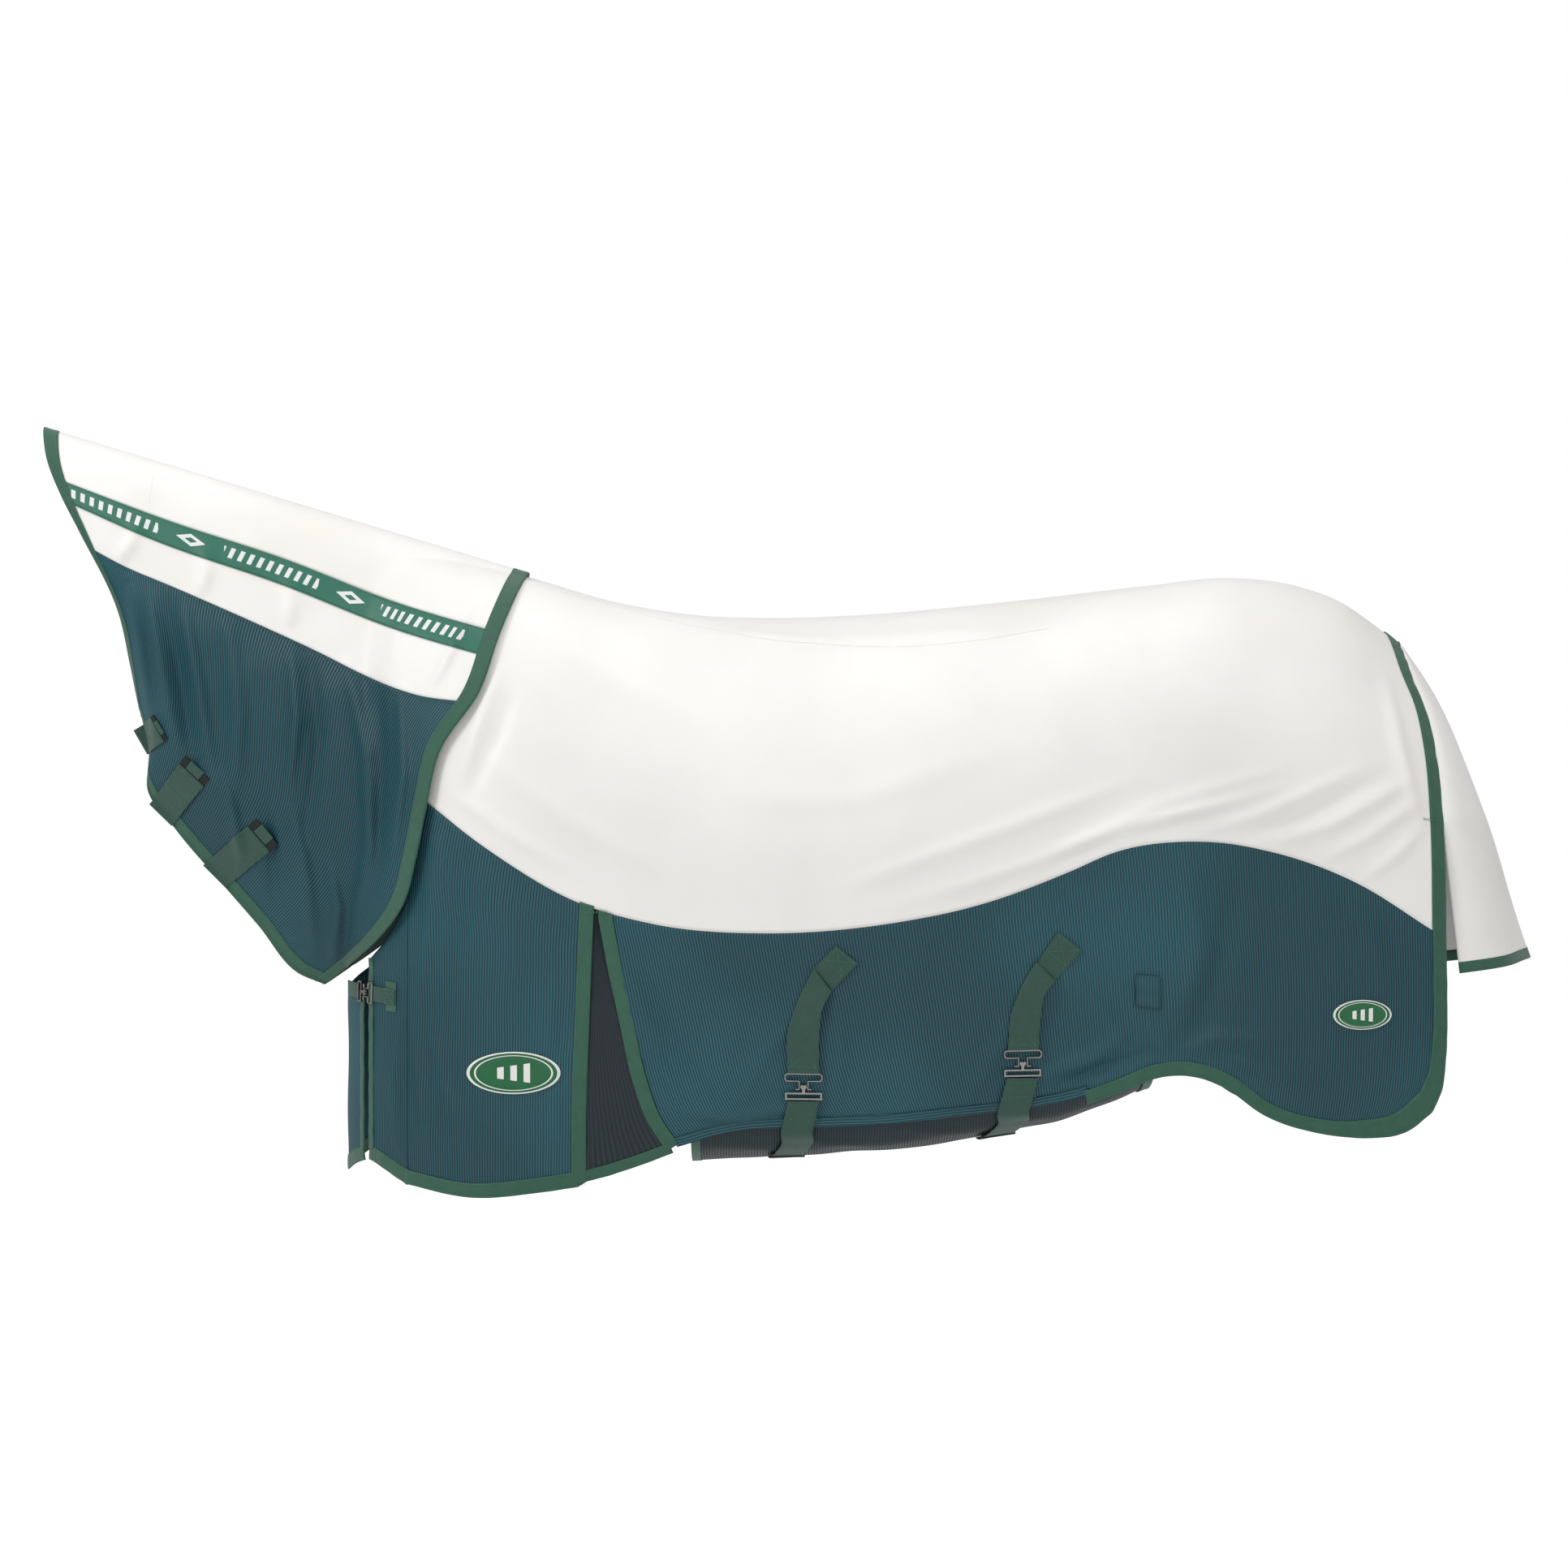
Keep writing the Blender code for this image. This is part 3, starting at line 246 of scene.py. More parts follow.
def stripe_finish(name, ground, motif):
    """Woven stripe tape: slanted bars in groups, with a lozenge between one group and the next."""
    look = Finish(name, Roughness=0.42, Sheen_Weight=0.2)
    along, across = look.place()
    place = look.math("FRACT", look.math("DIVIDE", along, STRIPE_PERIOD))
    metres = look.math("MULTIPLY", place, STRIPE_PERIOD)
    height = look.math("ABSOLUTE", look.math("SUBTRACT", across, 0.021))
    inside = look.math("LESS_THAN", height, 0.0095)
    lean = look.math("MULTIPLY_ADD", across, 0.35, metres)
    bar = look.math("GREATER_THAN", look.ribs(lean, 0.0165), 0.55)
    group = look.math("LESS_THAN", metres, 0.165)
    bars = look.math("MULTIPLY", look.math("MULTIPLY", bar, group), inside)
    aside = look.math("ABSOLUTE", look.math("SUBTRACT", metres, 0.222))
    reach = look.math("ADD", look.math("DIVIDE", aside, 0.026), look.math("DIVIDE", height, 0.011))
    ring = look.math("MULTIPLY", look.math("LESS_THAN", reach, 1.0), look.math("GREATER_THAN", reach, 0.42))
    mark = look.math("MAXIMUM", bars, ring)
    weave = look.ribs(along, 0.0013)
    brighter = [min(1, c * 1.5) for c in ground[:3]] + [1]
    ground_mix = look.mix(look.math("MULTIPLY", weave, 0.5), ground, brighter)
    look.colour(look.mix(mark, ground_mix, motif))
    look.bump(look.math("ADD", look.math("MULTIPLY", weave, 0.4), mark), 0.0003, 0.7)
    look.rough(0.50, 0.38, weave)
    return look.material


def badge_finish(name, field, border):
    """Moulded badge: a bright rim, a green field, and three rising bars in a ring."""
    look = Finish(name, Roughness=0.3)
    across, up = look.place()
    reach = look.math("SQRT", look.math("ADD", look.math("POWER", look.math("ABSOLUTE", across), 2.0),
                                        look.math("POWER", look.math("ABSOLUTE", up), 2.0)))
    rim = look.math("GREATER_THAN", reach, 0.93)
    line = look.math("MULTIPLY", look.math("GREATER_THAN", reach, 0.80), look.math("LESS_THAN", reach, 0.84))
    bar = look.math("GREATER_THAN", look.ribs(look.math("ADD", across, 0.07), 0.28), 0.5)
    span = look.math("LESS_THAN", look.math("ABSOLUTE", across), 0.46)
    tall = look.math("LESS_THAN", look.math("ABSOLUTE", up), look.math("MULTIPLY_ADD", across, 0.3, 0.36))
    bars = look.math("MULTIPLY", look.math("MULTIPLY", bar, span), tall)
    mark = look.math("MAXIMUM", look.math("MAXIMUM", rim, line), bars)
    grain = look.noise(90.0, 2.0)
    look.colour(look.mix(mark, look.mix(grain, field, [min(1, c * 1.3) for c in field[:3]] + [1]), border))
    look.bump(mark, 0.0005, 0.8)
    look.rough(0.25, 0.36, grain)
    return look.material


def thread_finish(name, tone):
    look = Finish(name, Roughness=0.6, Sheen_Weight=0.2)
    twist = look.noise(500.0, 1.0)
    look.colour(look.mix(twist, tone, [min(1, c * 1.5) for c in tone[:3]] + [1]))
    look.bump(twist, 0.0001)
    return look.material


WHITE = polyester_finish("white_polyester", srgb(247, 246, 243), srgb(240, 237, 231))
# In each mesh finish the second colour is the painted highlight on the ribs, and the first the painted shade
# in the grooves and holes.
SIDE_MESH = mesh_finish("teal_mesh", srgb(4, 44, 54), srgb(42, 112, 126), sheen=0.18)
GUSSET_MESH = mesh_finish("gusset_mesh", srgb(9, 24, 30), srgb(24, 44, 52))
# The wrap's mesh is a darker copy of the teal mesh: its darkness is painted shade under the belly.
SHADED_WRAP_MESH = mesh_finish("wrap_mesh_painted_shade", srgb(6, 26, 32), srgb(20, 54, 64), sheen=0.0)
BINDING_TAPE = webbing_finish("binding_tape", srgb(26, 76, 58), srgb(52, 112, 88), 0.0012, 0.5)
WEBBING_TAPE = webbing_finish("webbing_tape", srgb(24, 62, 52), srgb(48, 92, 78), 0.0018, 0.55)
STRIPE_TAPE = stripe_finish("stripe_tape", srgb(38, 104, 86), srgb(232, 234, 232))
NICKEL = metal_finish("dark_nickel", srgb(172, 168, 164), 0.22)
BLACK_PLASTIC = plastic_finish("black_plastic", srgb(24, 25, 26), 0.4)
BADGE = badge_finish("badge_enamel", srgb(26, 96, 58), srgb(238, 238, 234))
HOOK_TAPE = hook_tape_finish("hook_tape")
GREEN_THREAD = thread_finish("green_thread", srgb(58, 112, 92))
DARK_THREAD = thread_finish("dark_thread", srgb(30, 66, 62))
WHITE_THREAD = thread_finish("white_thread", srgb(226, 224, 218))


# ---------------------------------------------------------------------------------------------
# The form that the body sheet lies on
# ---------------------------------------------------------------------------------------------


def profile(points):
    """A smooth function through (place, value) points, flat beyond its ends."""
    places, values = np.array(points, float).T
    slopes = np.gradient(values, places)

    def value(at):
        at = np.clip(at, places[0], places[-1])
        i = np.clip(np.searchsorted(places, at) - 1, 0, len(places) - 2)
        step = places[i + 1] - places[i]
        t = (at - places[i]) / step
        rise = values[i + 1] - values[i]
        bend = slopes[i] * (1 - t) ** 2 * t - slopes[i + 1] * t**2 * (1 - t)
        return values[i] + rise * (3 * t**2 - 2 * t**3) + step * bend

    return value


def run(points, count):
    """count points evenly spread along a smooth line through the points given."""
    points = np.array(points, float)
    lengths = np.linalg.norm(np.diff(points, axis=0), axis=1)
    along = np.concatenate([[0], np.cumsum(lengths)]) / lengths.sum()
    shares = np.linspace(0, 1, count)
    return np.stack([profile(list(zip(along, column)))(shares) for column in points.T], axis=1)


def resampled(line, count):
    """The same corners and straight runs, at count even places."""
    line = np.asarray(line, float)
    along = np.concatenate([[0], np.cumsum(np.linalg.norm(np.diff(line, axis=0), axis=1))])
    places = np.linspace(0, along[-1], count)
    return np.stack([np.interp(places, along, column) for column in line.T], axis=1)


def coons(top, bottom, start, end):
    """A grid between four lines: top and bottom run one way, start and end the other."""
    u = np.linspace(0, 1, len(top))[:, None, None]
    v = np.linspace(0, 1, len(start))[None, :, None]
    across = (1 - v) * top[:, None] + v * bottom[:, None]
    down = (1 - u) * start[None] + u * end[None]
    corners = (1 - v) * ((1 - u) * top[0] + u * top[-1]) + v * ((1 - u) * bottom[0] + u * bottom[-1])
    return across + down - corners


def offset_line(line, by):
    """A flat line moved sideways, to the left of the way it runs, with mitred corners."""
    line = np.asarray(line, float)
    ways = np.diff(line, axis=0)
    ways /= np.linalg.norm(ways, axis=1)[:, None]
    sides = np.stack([-ways[:, 1], ways[:, 0]], axis=1)
    before = np.vstack([sides[:1], sides])
    after = np.vstack([sides, sides[-1:]])
    mitre = before + after
    mitre /= np.maximum(0.5, (mitre * before).sum(axis=1))[:, None]
    return line + mitre * by


BACK_LINE = profile([
    (-0.76, 0.13), (-0.55, 0.10), (-0.41, 0.066), (-0.27, 0.026), (-0.14, 0.005), (0.0, 0.0),
    (0.12, 0.004), (0.39, 0.028), (0.6, 0.052), (0.75, 0.066), (0.86, 0.052), (0.93, 0.026),
    (0.98, -0.008), (1.02, -0.040), (1.10, -0.12),
])
HALF_WIDTH = profile([
    (-0.76, 0.23), (-0.45, 0.24), (-0.3, 0.25), (0, 0.285), (0.3, 0.305), (0.5, 0.295), (0.7, 0.28),
    (0.9, 0.25), (1.0, 0.225), (1.10, 0.195),
])
WIDEST_DEPTH = profile([(-0.76, 0.42), (-0.45, 0.42), (0, 0.40), (0.3, 0.38), (0.7, 0.36), (1.1, 0.36)])
TUCK = profile([
    (-0.76, 0.0), (-0.45, 0.01), (-0.2, 0.07), (0.2, 0.10), (0.45, 0.09), (0.7, 0.04), (1.1, 0.03),
])
TUCK_DEPTH = 0.5
CHEST_TURN = -0.45
CHEST_REACH = 0.262
CHEST_GIRTH = 0.40


def quarter_girth(x):
    """The length round the back, from the spine to the widest point."""
    return math.pi / 2 * np.sqrt((HALF_WIDTH(x) ** 2 + WIDEST_DEPTH(x) ** 2) / 2)


def trunk(flat, side):
    """Points of the form, from (xi, g): the place along the side and the girth distance from the spine."""
    xi, g = flat[..., 0], np.abs(flat[..., 1])
    turn = np.maximum(0, CHEST_TURN - xi) / CHEST_GIRTH * math.pi / 2
    x = np.where(xi >= CHEST_TURN, xi, CHEST_TURN - CHEST_REACH * np.sin(turn))
    wide, deep, quarter = HALF_WIDTH(x), WIDEST_DEPTH(x), quarter_girth(x)
    angle = np.minimum(g / quarter, 1) * math.pi / 2
    below = np.maximum(0, g - quarter)
    y = wide * np.sin(angle) - TUCK(x) * (below / TUCK_DEPTH) ** 2
    depth = deep * (1 - np.cos(angle)) + below
    sign = np.where(flat[..., 1] < 0, -side, side)
    return np.stack([x, sign * y * np.cos(turn), BACK_LINE(x) - depth], axis=-1)


def trunk_out(flat, side):
    """The unit directions square to the form, outwards."""
    step = 0.004
    along = trunk(flat + [step, 0], side) - trunk(flat - [step, 0], side)
    down = trunk(flat + [0, step], side) - trunk(flat - [0, step], side)
    normal = np.cross(along, down) * side
    return normal / np.linalg.norm(normal, axis=-1, keepdims=True)


def laid(points):
    """The places (xi, g) on the form of points drawn in the side view."""
    points = np.asarray(points, float)
    x, z = points[..., 0], points[..., 1]
    angle = np.arcsin(np.clip((CHEST_TURN - x) / CHEST_REACH, 0, 1))
    xi = np.where(x < CHEST_TURN, CHEST_TURN - angle / (math.pi / 2) * CHEST_GIRTH, x)
    depth, deep, quarter = BACK_LINE(x) - z, WIDEST_DEPTH(x), quarter_girth(x)
    over = np.arccos(np.clip(1 - np.maximum(depth, 0) / deep, -1, 1)) / (math.pi / 2) * quarter
    return np.stack([xi, np.where(depth < deep, over, quarter + depth - deep)], axis=-1)


def laid_line(points, count):
    return laid(run(points, count))


# ---------------------------------------------------------------------------------------------
# Folds: each crease is a line in the side view, with a height and a half width
# ---------------------------------------------------------------------------------------------


def crease_height(at, line, height, width):
    """The rise of a soft ridge, or of a valley where height is below 0, that fades towards its ends."""
    line = np.asarray(line, float)
    lengths = np.linalg.norm(np.diff(line, axis=0), axis=1)
    starts = np.concatenate([[0], np.cumsum(lengths)])
    nearest = np.full(at.shape[:-1], 1e9)
    share = np.zeros(at.shape[:-1])
    for i, length in enumerate(lengths):
        way = (line[i + 1] - line[i]) / length
        along = np.clip(((at - line[i]) * way).sum(axis=-1), 0, length)
        away = np.linalg.norm(at - (line[i] + along[..., None] * way), axis=-1)
        closer = away < nearest
        nearest = np.where(closer, away, nearest)
        share = np.where(closer, (starts[i] + along) / starts[-1], share)
    fade = np.sin(np.clip(share, 0.02, 0.98) * math.pi) ** 0.6
    return height * fade * np.exp(-((nearest / width) ** 2))


def sway(at, seed, pitch, height):
    """Slow irregular undulation, the same every time for the same seed."""
    chance = np.random.default_rng(seed)
    total = np.zeros(at.shape[:-1])
    for _ in range(7):
        way = chance.uniform(0, 2 * math.pi)
        wave = 2 * math.pi / (pitch * chance.uniform(0.7, 1.7))
        turn = chance.uniform(0, 2 * math.pi)
        total += np.sin(at[..., 0] * math.cos(way) * wave + at[..., 1] * math.sin(way) * wave + turn)
    return total / 7 * height


BACK_SEAM = [(-0.394, 0.048), (0.052, -0.051), (0.305, -0.047), (0.435, -0.024)]
TOP_CREASES = [
    ([(-0.450, -0.09), (-0.478, -0.17), (-0.510, -0.27)], 0.0080, 0.010),
    ([(-0.425, -0.12), (-0.452, -0.20), (-0.497, -0.295)], -0.0053, 0.012),
    ([(-0.520, -0.290), (-0.43, -0.355), (-0.33, -0.415)], 0.0053, 0.012),
    ([(-0.500, -0.21), (-0.34, -0.33), (-0.18, -0.42)], 0.0039, 0.018),
    ([(-0.40, 0.0), (-0.28, -0.10), (-0.10, -0.19)], 0.0035, 0.022),
    ([(-0.20, -0.02), (0.05, -0.045), (0.28, -0.035), (0.45, -0.02)], 0.0053, 0.014),
    ([(0.10, -0.44), (0.32, -0.36), (0.56, -0.27)], 0.0053, 0.014),
    ([(0.16, -0.475), (0.38, -0.41), (0.60, -0.31), (0.80, -0.25)], 0.0059, 0.013),
    ([(0.30, -0.455), (0.44, -0.395), (0.60, -0.345)], -0.0046, 0.012),
    ([(0.38, -0.425), (0.47, -0.375), (0.58, -0.335), (0.74, -0.300)], 0.0063, 0.011),
    ([(0.50, -0.385), (0.62, -0.325), (0.80, -0.280)], 0.0046, 0.010),
    ([(0.62, -0.365), (0.76, -0.325), (0.93, -0.250)], 0.0053, 0.011),
    ([(0.70, -0.370), (0.84, -0.330), (0.98, -0.255)], -0.0042, 0.010),
    ([(0.77, -0.375), (0.88, -0.340), (1.01, -0.270)], 0.0057, 0.010),
    ([(0.85, -0.405), (0.94, -0.360), (1.03, -0.300)], 0.0049, 0.009),
    ([(0.92, -0.435), (0.98, -0.395), (1.04, -0.340)], 0.0046, 0.009),
    ([(0.98, -0.10), (1.00, -0.22), (1.03, -0.34)], 0.0053, 0.012),
    (BACK_SEAM, 0.0018, 0.008),
    ([(-0.10, -0.30), (0.12, -0.30), (0.36, -0.22)], 0.0031, 0.022),
]
SIDE_CREASES = [
    ([(-0.270, -0.52), (-0.225, -0.66), (-0.150, -0.80)], 0.0076, 0.012),
    ([(-0.245, -0.52), (-0.185, -0.66), (-0.100, -0.80)], -0.0059, 0.012),
    ([(-0.160, -0.80), (-0.060, -0.81), (0.030, -0.79)], 0.0067, 0.011),
    ([(0.050, -0.615), (-0.02, -0.70), (-0.07, -0.80)], 0.0047, 0.014),
    ([(0.085, -0.60), (0.10, -0.70), (0.09, -0.80)], 0.0047, 0.014),
    ([(0.40, -0.58), (0.36, -0.68), (0.30, -0.78)], 0.0050, 0.014),
    ([(0.44, -0.56), (0.50, -0.62), (0.56, -0.70)], 0.0058, 0.014),
    ([(0.56, -0.67), (0.50, -0.71), (0.41, -0.745)], 0.0092, 0.012),
    ([(0.60, -0.70), (0.53, -0.725), (0.44, -0.765)], -0.0067, 0.010),
    ([(0.58, -0.66), (0.61, -0.69), (0.62, -0.72)], 0.0076, 0.012),
    ([(0.64, -0.40), (0.67, -0.54), (0.62, -0.69)], 0.0067, 0.022),
    ([(0.73, -0.43), (0.70, -0.58), (0.65, -0.70)], -0.0059, 0.022),
    ([(0.62, -0.715), (0.70, -0.68), (0.80, -0.69)], 0.0076, 0.014),
    ([(0.67, -0.725), (0.74, -0.72), (0.84, -0.76)], 0.0067, 0.012),
    ([(0.93, -0.47), (0.97, -0.60), (0.96, -0.76)], 0.0050, 0.020),
    ([(0.23, -0.50), (0.20, -0.60), (0.24, -0.74)], 0.0043, 0.022),
    ([(-0.10, -0.53), (-0.07, -0.62), (-0.09, -0.74)], 0.0043, 0.020),
]
SHOULDER_CREASES = [
    ([(-0.545, -0.33), (-0.560, -0.50), (-0.585, -0.66)], 0.0064, 0.013),
    ([(-0.500, -0.36), (-0.515, -0.52), (-0.545, -0.70)], -0.0048, 0.016),
    ([(-0.590, -0.62), (-0.580, -0.74), (-0.555, -0.88)], 0.0080, 0.012),
    ([(-0.605, -0.63), (-0.620, -0.76), (-0.610, -0.88)], 0.0072, 0.011),
    ([(-0.560, -0.66), (-0.530, -0.78), (-0.480, -0.90)], 0.0057, 0.014),
    ([(-0.360, -0.56), (-0.370, -0.70), (-0.350, -0.86)], 0.0048, 0.014),
    ([(-0.440, -0.44), (-0.430, -0.58), (-0.440, -0.69)], 0.0039, 0.022),
]
NECK_CREASES = [
    ([(-1.060, 0.06), (-1.045, -0.06), (-1.030, -0.20)], 0.0121, 0.012),
    ([(-1.030, 0.03), (-1.005, -0.10), (-0.985, -0.22)], 0.0142, 0.012),
    ([(-1.000, 0.02), (-0.975, -0.12), (-0.955, -0.26)], -0.0102, 0.012),
    ([(-0.975, 0.03), (-0.945, -0.12), (-0.925, -0.27)], 0.0121, 0.011),
    ([(-0.900, 0.0), (-0.880, -0.16), (-0.895, -0.33)], 0.0092, 0.015),
    ([(-0.795, -0.05), (-0.785, -0.17), (-0.800, -0.29)], 0.0121, 0.011),
    ([(-0.765, -0.06), (-0.750, -0.20), (-0.770, -0.36)], -0.0092, 0.013),
    ([(-0.700, -0.08), (-0.672, -0.22), (-0.665, -0.38), (-0.690, -0.50)], 0.0152, 0.013),
    ([(-0.650, -0.11), (-0.640, -0.26), (-0.648, -0.44)], -0.0121, 0.012),
    ([(-0.610, -0.12), (-0.605, -0.26), (-0.625, -0.42)], 0.0132, 0.010),
    ([(-0.800, -0.30), (-0.775, -0.42), (-0.765, -0.55)], 0.0121, 0.013),
    ([(-0.850, -0.28), (-0.830, -0.38), (-0.830, -0.48)], -0.0092, 0.012),
    ([(-0.920, -0.24), (-0.895, -0.32), (-0.885, -0.40)], 0.0121, 0.010),
    ([(-0.735, -0.40), (-0.720, -0.48), (-0.735, -0.57)], 0.0102, 0.010),
    ([(-1.085, 0.085), (-1.060, 0.12), (-1.045, 0.16)], 0.0053, 0.012),
    ([(-0.945, 0.03), (-0.935, 0.075), (-0.940, 0.12)], 0.0062, 0.012),
    ([(-0.800, -0.02), (-0.795, 0.02), (-0.800, 0.06)], 0.0053, 0.014),
    ([(-0.640, -0.08), (-0.620, -0.03), (-0.590, 0.02)], 0.0057, 0.014),
    ([(-0.560, -0.12), (-0.530, -0.06), (-0.500, 0.02)], 0.0073, 0.010),
]


def folds(at, creases, seed, pitch, height):
    total = sway(at, seed, pitch, height)
    for line, rise, width in creases:
        total += crease_height(at, line, rise, width)
    return total


# ---------------------------------------------------------------------------------------------
# Making pieces
# ---------------------------------------------------------------------------------------------

SHEET = bpy.data.collections.new("fly_sheet_looks")
bpy.context.scene.collection.children.link(SHEET)
FABRIC = 0.0012


def piece_of(name, mesh, look):
    obj = bpy.data.objects.new(name, mesh)
    SHEET.objects.link(obj)
    mesh.materials.append(look)
    return obj


def grid_piece(name, grid, uv, look, flip=False, thick=FABRIC):
    """A grid of points as cloth: a UV map in metres along the cloth, and a real thickness."""
    grid = np.asarray(grid, float)
    columns, rows = grid.shape[:2]
    index = np.arange(columns * rows).reshape(columns, rows)
    faces = np.stack([index[:-1, :-1], index[1:, :-1], index[1:, 1:], index[:-1, 1:]], axis=-1).reshape(-1, 4)
    if flip:
        faces = faces[:, ::-1]
    mesh = bpy.data.meshes.new(name)
    mesh.from_pydata(grid.reshape(-1, 3).tolist(), [], faces.tolist())
    layer = mesh.uv_layers.new(name="cloth")
    corners = np.asarray(uv, float).reshape(-1, 2)[faces.reshape(-1)]
    layer.data.foreach_set("uv", corners.astype(np.float32).ravel())
    mesh.shade_smooth()
    obj = piece_of(name, mesh, look)
    wall = obj.modifiers.new("thickness", "SOLIDIFY")
    wall.thickness = thick
    wall.offset = 0.0
    return settled(obj)


def settled(obj):
    """The object with its modifiers made into plain mesh."""
    bpy.context.view_layer.update()
    result = bpy.data.meshes.new_from_object(obj.evaluated_get(bpy.context.evaluated_depsgraph_get()))
    result.name = obj.name
    old = obj.data
    obj.modifiers.clear()
    obj.data = result
    bpy.data.meshes.remove(old)
    return obj


def lengths_uv(grid):
    """A UV map in metres from the real lengths of the grid: across along its columns, and down its rows."""
    across = np.linalg.norm(np.diff(grid, axis=0), axis=-1).mean(axis=1)
    down = np.linalg.norm(np.diff(grid, axis=1), axis=-1).mean(axis=0)
    u = np.concatenate([[0], np.cumsum(across)])
    v = np.concatenate([[0], np.cumsum(down)])
    return np.stack(np.meshgrid(u, v, indexing="ij"), axis=-1)


# ---------------------------------------------------------------------------------------------
# Body sheet
# ---------------------------------------------------------------------------------------------

SEAM = profile([
    (-0.59, -0.285), (-0.465, -0.38), (-0.335, -0.458), (-0.205, -0.497), (-0.025, -0.512), (0.155, -0.499),
    (0.335, -0.461), (0.465, -0.412), (0.53, -0.384), (0.655, -0.366), (0.79, -0.384), (0.92, -0.431),
    (1.054, -0.512),
])
HEM = profile([
    (-0.165, -0.855), (-0.08, -0.83), (0.05, -0.822), (0.18, -0.815), (0.30, -0.802), (0.40, -0.790),
    (0.47, -0.776), (0.535, -0.753), (0.61, -0.724), (0.675, -0.725), (0.727, -0.747), (0.78, -0.786),
    (0.86, -0.814), (0.94, -0.819), (1.0, -0.805), (1.035, -0.775),
])
NECKLINE = [(-0.43, 0.069), (-0.465, -0.03), (-0.505, -0.12), (-0.56, -0.225), (-0.59, -0.285)]
NECKLINE_FOOT = [(-0.59, -0.285), (-0.603, -0.37), (-0.598, -0.45)]
REAR_TOP = [
    (1.004, -0.026), (1.016, -0.094), (1.034, -0.148), (1.046, -0.227), (1.051, -0.332), (1.054, -0.512),
]
REAR_FOOT = [(1.054, -0.512), (1.056, -0.60), (1.055, -0.69), (1.048, -0.745), (1.035, -0.775)]
FLAP_HINGE_X = -0.598
FLAP_EDGE_X = -0.663
SHOULDER_HEM = [(FLAP_HINGE_X, -0.900), (-0.494, -0.918), (-0.391, -0.911), (-0.330, -0.903)]
SHOULDER_REAR = [(-0.3145, -0.465), (-0.323, -0.657), (-0.329, -0.807), (-0.330, -0.903)]
GUSSET_TOP = -0.2885
GUSSET_REAR = [(-0.255, -0.568), (-0.236, -0.656), (-0.216, -0.748), (-0.195, -0.808), (-0.165, -0.855)]
BINDING = 0.019
SEWN_OVER = 0.004
HAUNCH_BINDING_START = 0.49
HINGE_TOP, HINGE_FOOT = -0.455, -0.900
FLAP_HEM = profile([(34, HINGE_FOOT), (54, -0.866), (90, -0.893), (120, -0.868)])
FLAP_NECKLINE = profile([
    (34, HINGE_TOP), (40, -0.500), (54, -0.556), (75, -0.594), (90, -0.608), (120, -0.612),
])


def seam_run(low, high, count):
    places = np.linspace(low, high, count)
    return laid(np.stack([places, SEAM(places)], axis=1))


def hem_run(low, high, count):
    places = np.linspace(low, high, count)
    return laid(np.stack([places, HEM(places)], axis=1))


def draped(flat, side, creases, seed, pitch=0.16, height=0.0012, out=0.0):
    """Places on the form as points in space, with the folds of the cloth on them. It is taut at its edges."""
    points = trunk(flat, side)
    seen = np.stack([points[..., 0], points[..., 2]], axis=-1)
    columns, rows = flat.shape[:2]
    u = np.minimum(np.arange(columns), np.arange(columns)[::-1])[:, None]
    v = np.minimum(np.arange(rows), np.arange(rows)[::-1])[None, :]
    ease = np.clip((np.minimum(u, v) + 2) / 9, 0, 1)
    for x, z, long, high in (SHOULDER_BADGE, HAUNCH_BADGE):
        away = np.hypot((seen[..., 0] - x) / long, (seen[..., 1] - z) / high)
        ease = ease * np.clip((away - 1.05) / 0.7, 0.05, 1)
    rise = folds(seen, creases, seed + side, pitch, height) * ease + out
    return points + trunk_out(flat, side) * rise[..., None]


def body_piece(name, flat, side, look, creases, seed, nodes, slot, **sway_of):
    grid = draped(flat, side, creases, seed, **sway_of)
    obj = grid_piece(name, grid, lengths_uv(grid), look, flip=side == RIGHT)
    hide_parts(*nodes)
    return obj


def top_cover():
    """The white top, one cloth from the left seam over the spine to the right seam."""
    halves = []
    count, rows = 250, 80
    seam = seam_run(-0.59, REAR_TOP[-1][0], count)
    front, rear = laid_line(NECKLINE, rows), laid_line(REAR_TOP, rows)
    front[0, 1] = rear[0, 1] = 0.0
    seam[0], seam[-1] = front[-1], rear[-1]
    spine = np.stack([np.linspace(front[0, 0], rear[0, 0], count), np.zeros(count)], axis=1)
    flat = coons(spine, seam, front, rear)
    for side in (LEFT, RIGHT):
        halves.append(draped_half(flat, side))
    grid = np.concatenate([halves[0][:, :0:-1], halves[1]], axis=1)
    obj = grid_piece("top_cover", grid, lengths_uv(grid), WHITE)
    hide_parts("top_panel_left", "top_panel_right")
    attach(obj, "body_sheet")
    return obj


def draped_half(flat, side):
    """Half of the white top. Its folds fade out at the spine, where the halves meet."""
    points = trunk(flat, side)
    seen = np.stack([points[..., 0], points[..., 2]], axis=-1)
    columns, rows = flat.shape[:2]
    u = np.minimum(np.arange(columns), np.arange(columns)[::-1])[:, None]
    v = np.arange(rows)[::-1][None, :]
    ease = np.clip((np.minimum(u, v) + 2) / 9, 0, 1) * np.clip(np.arange(rows)[None, :] / 6, 0, 1)
    rise = folds(seen, TOP_CREASES, 11 + side, 0.22, 0.0016) * ease
    return points + trunk_out(flat, side) * rise[..., None]


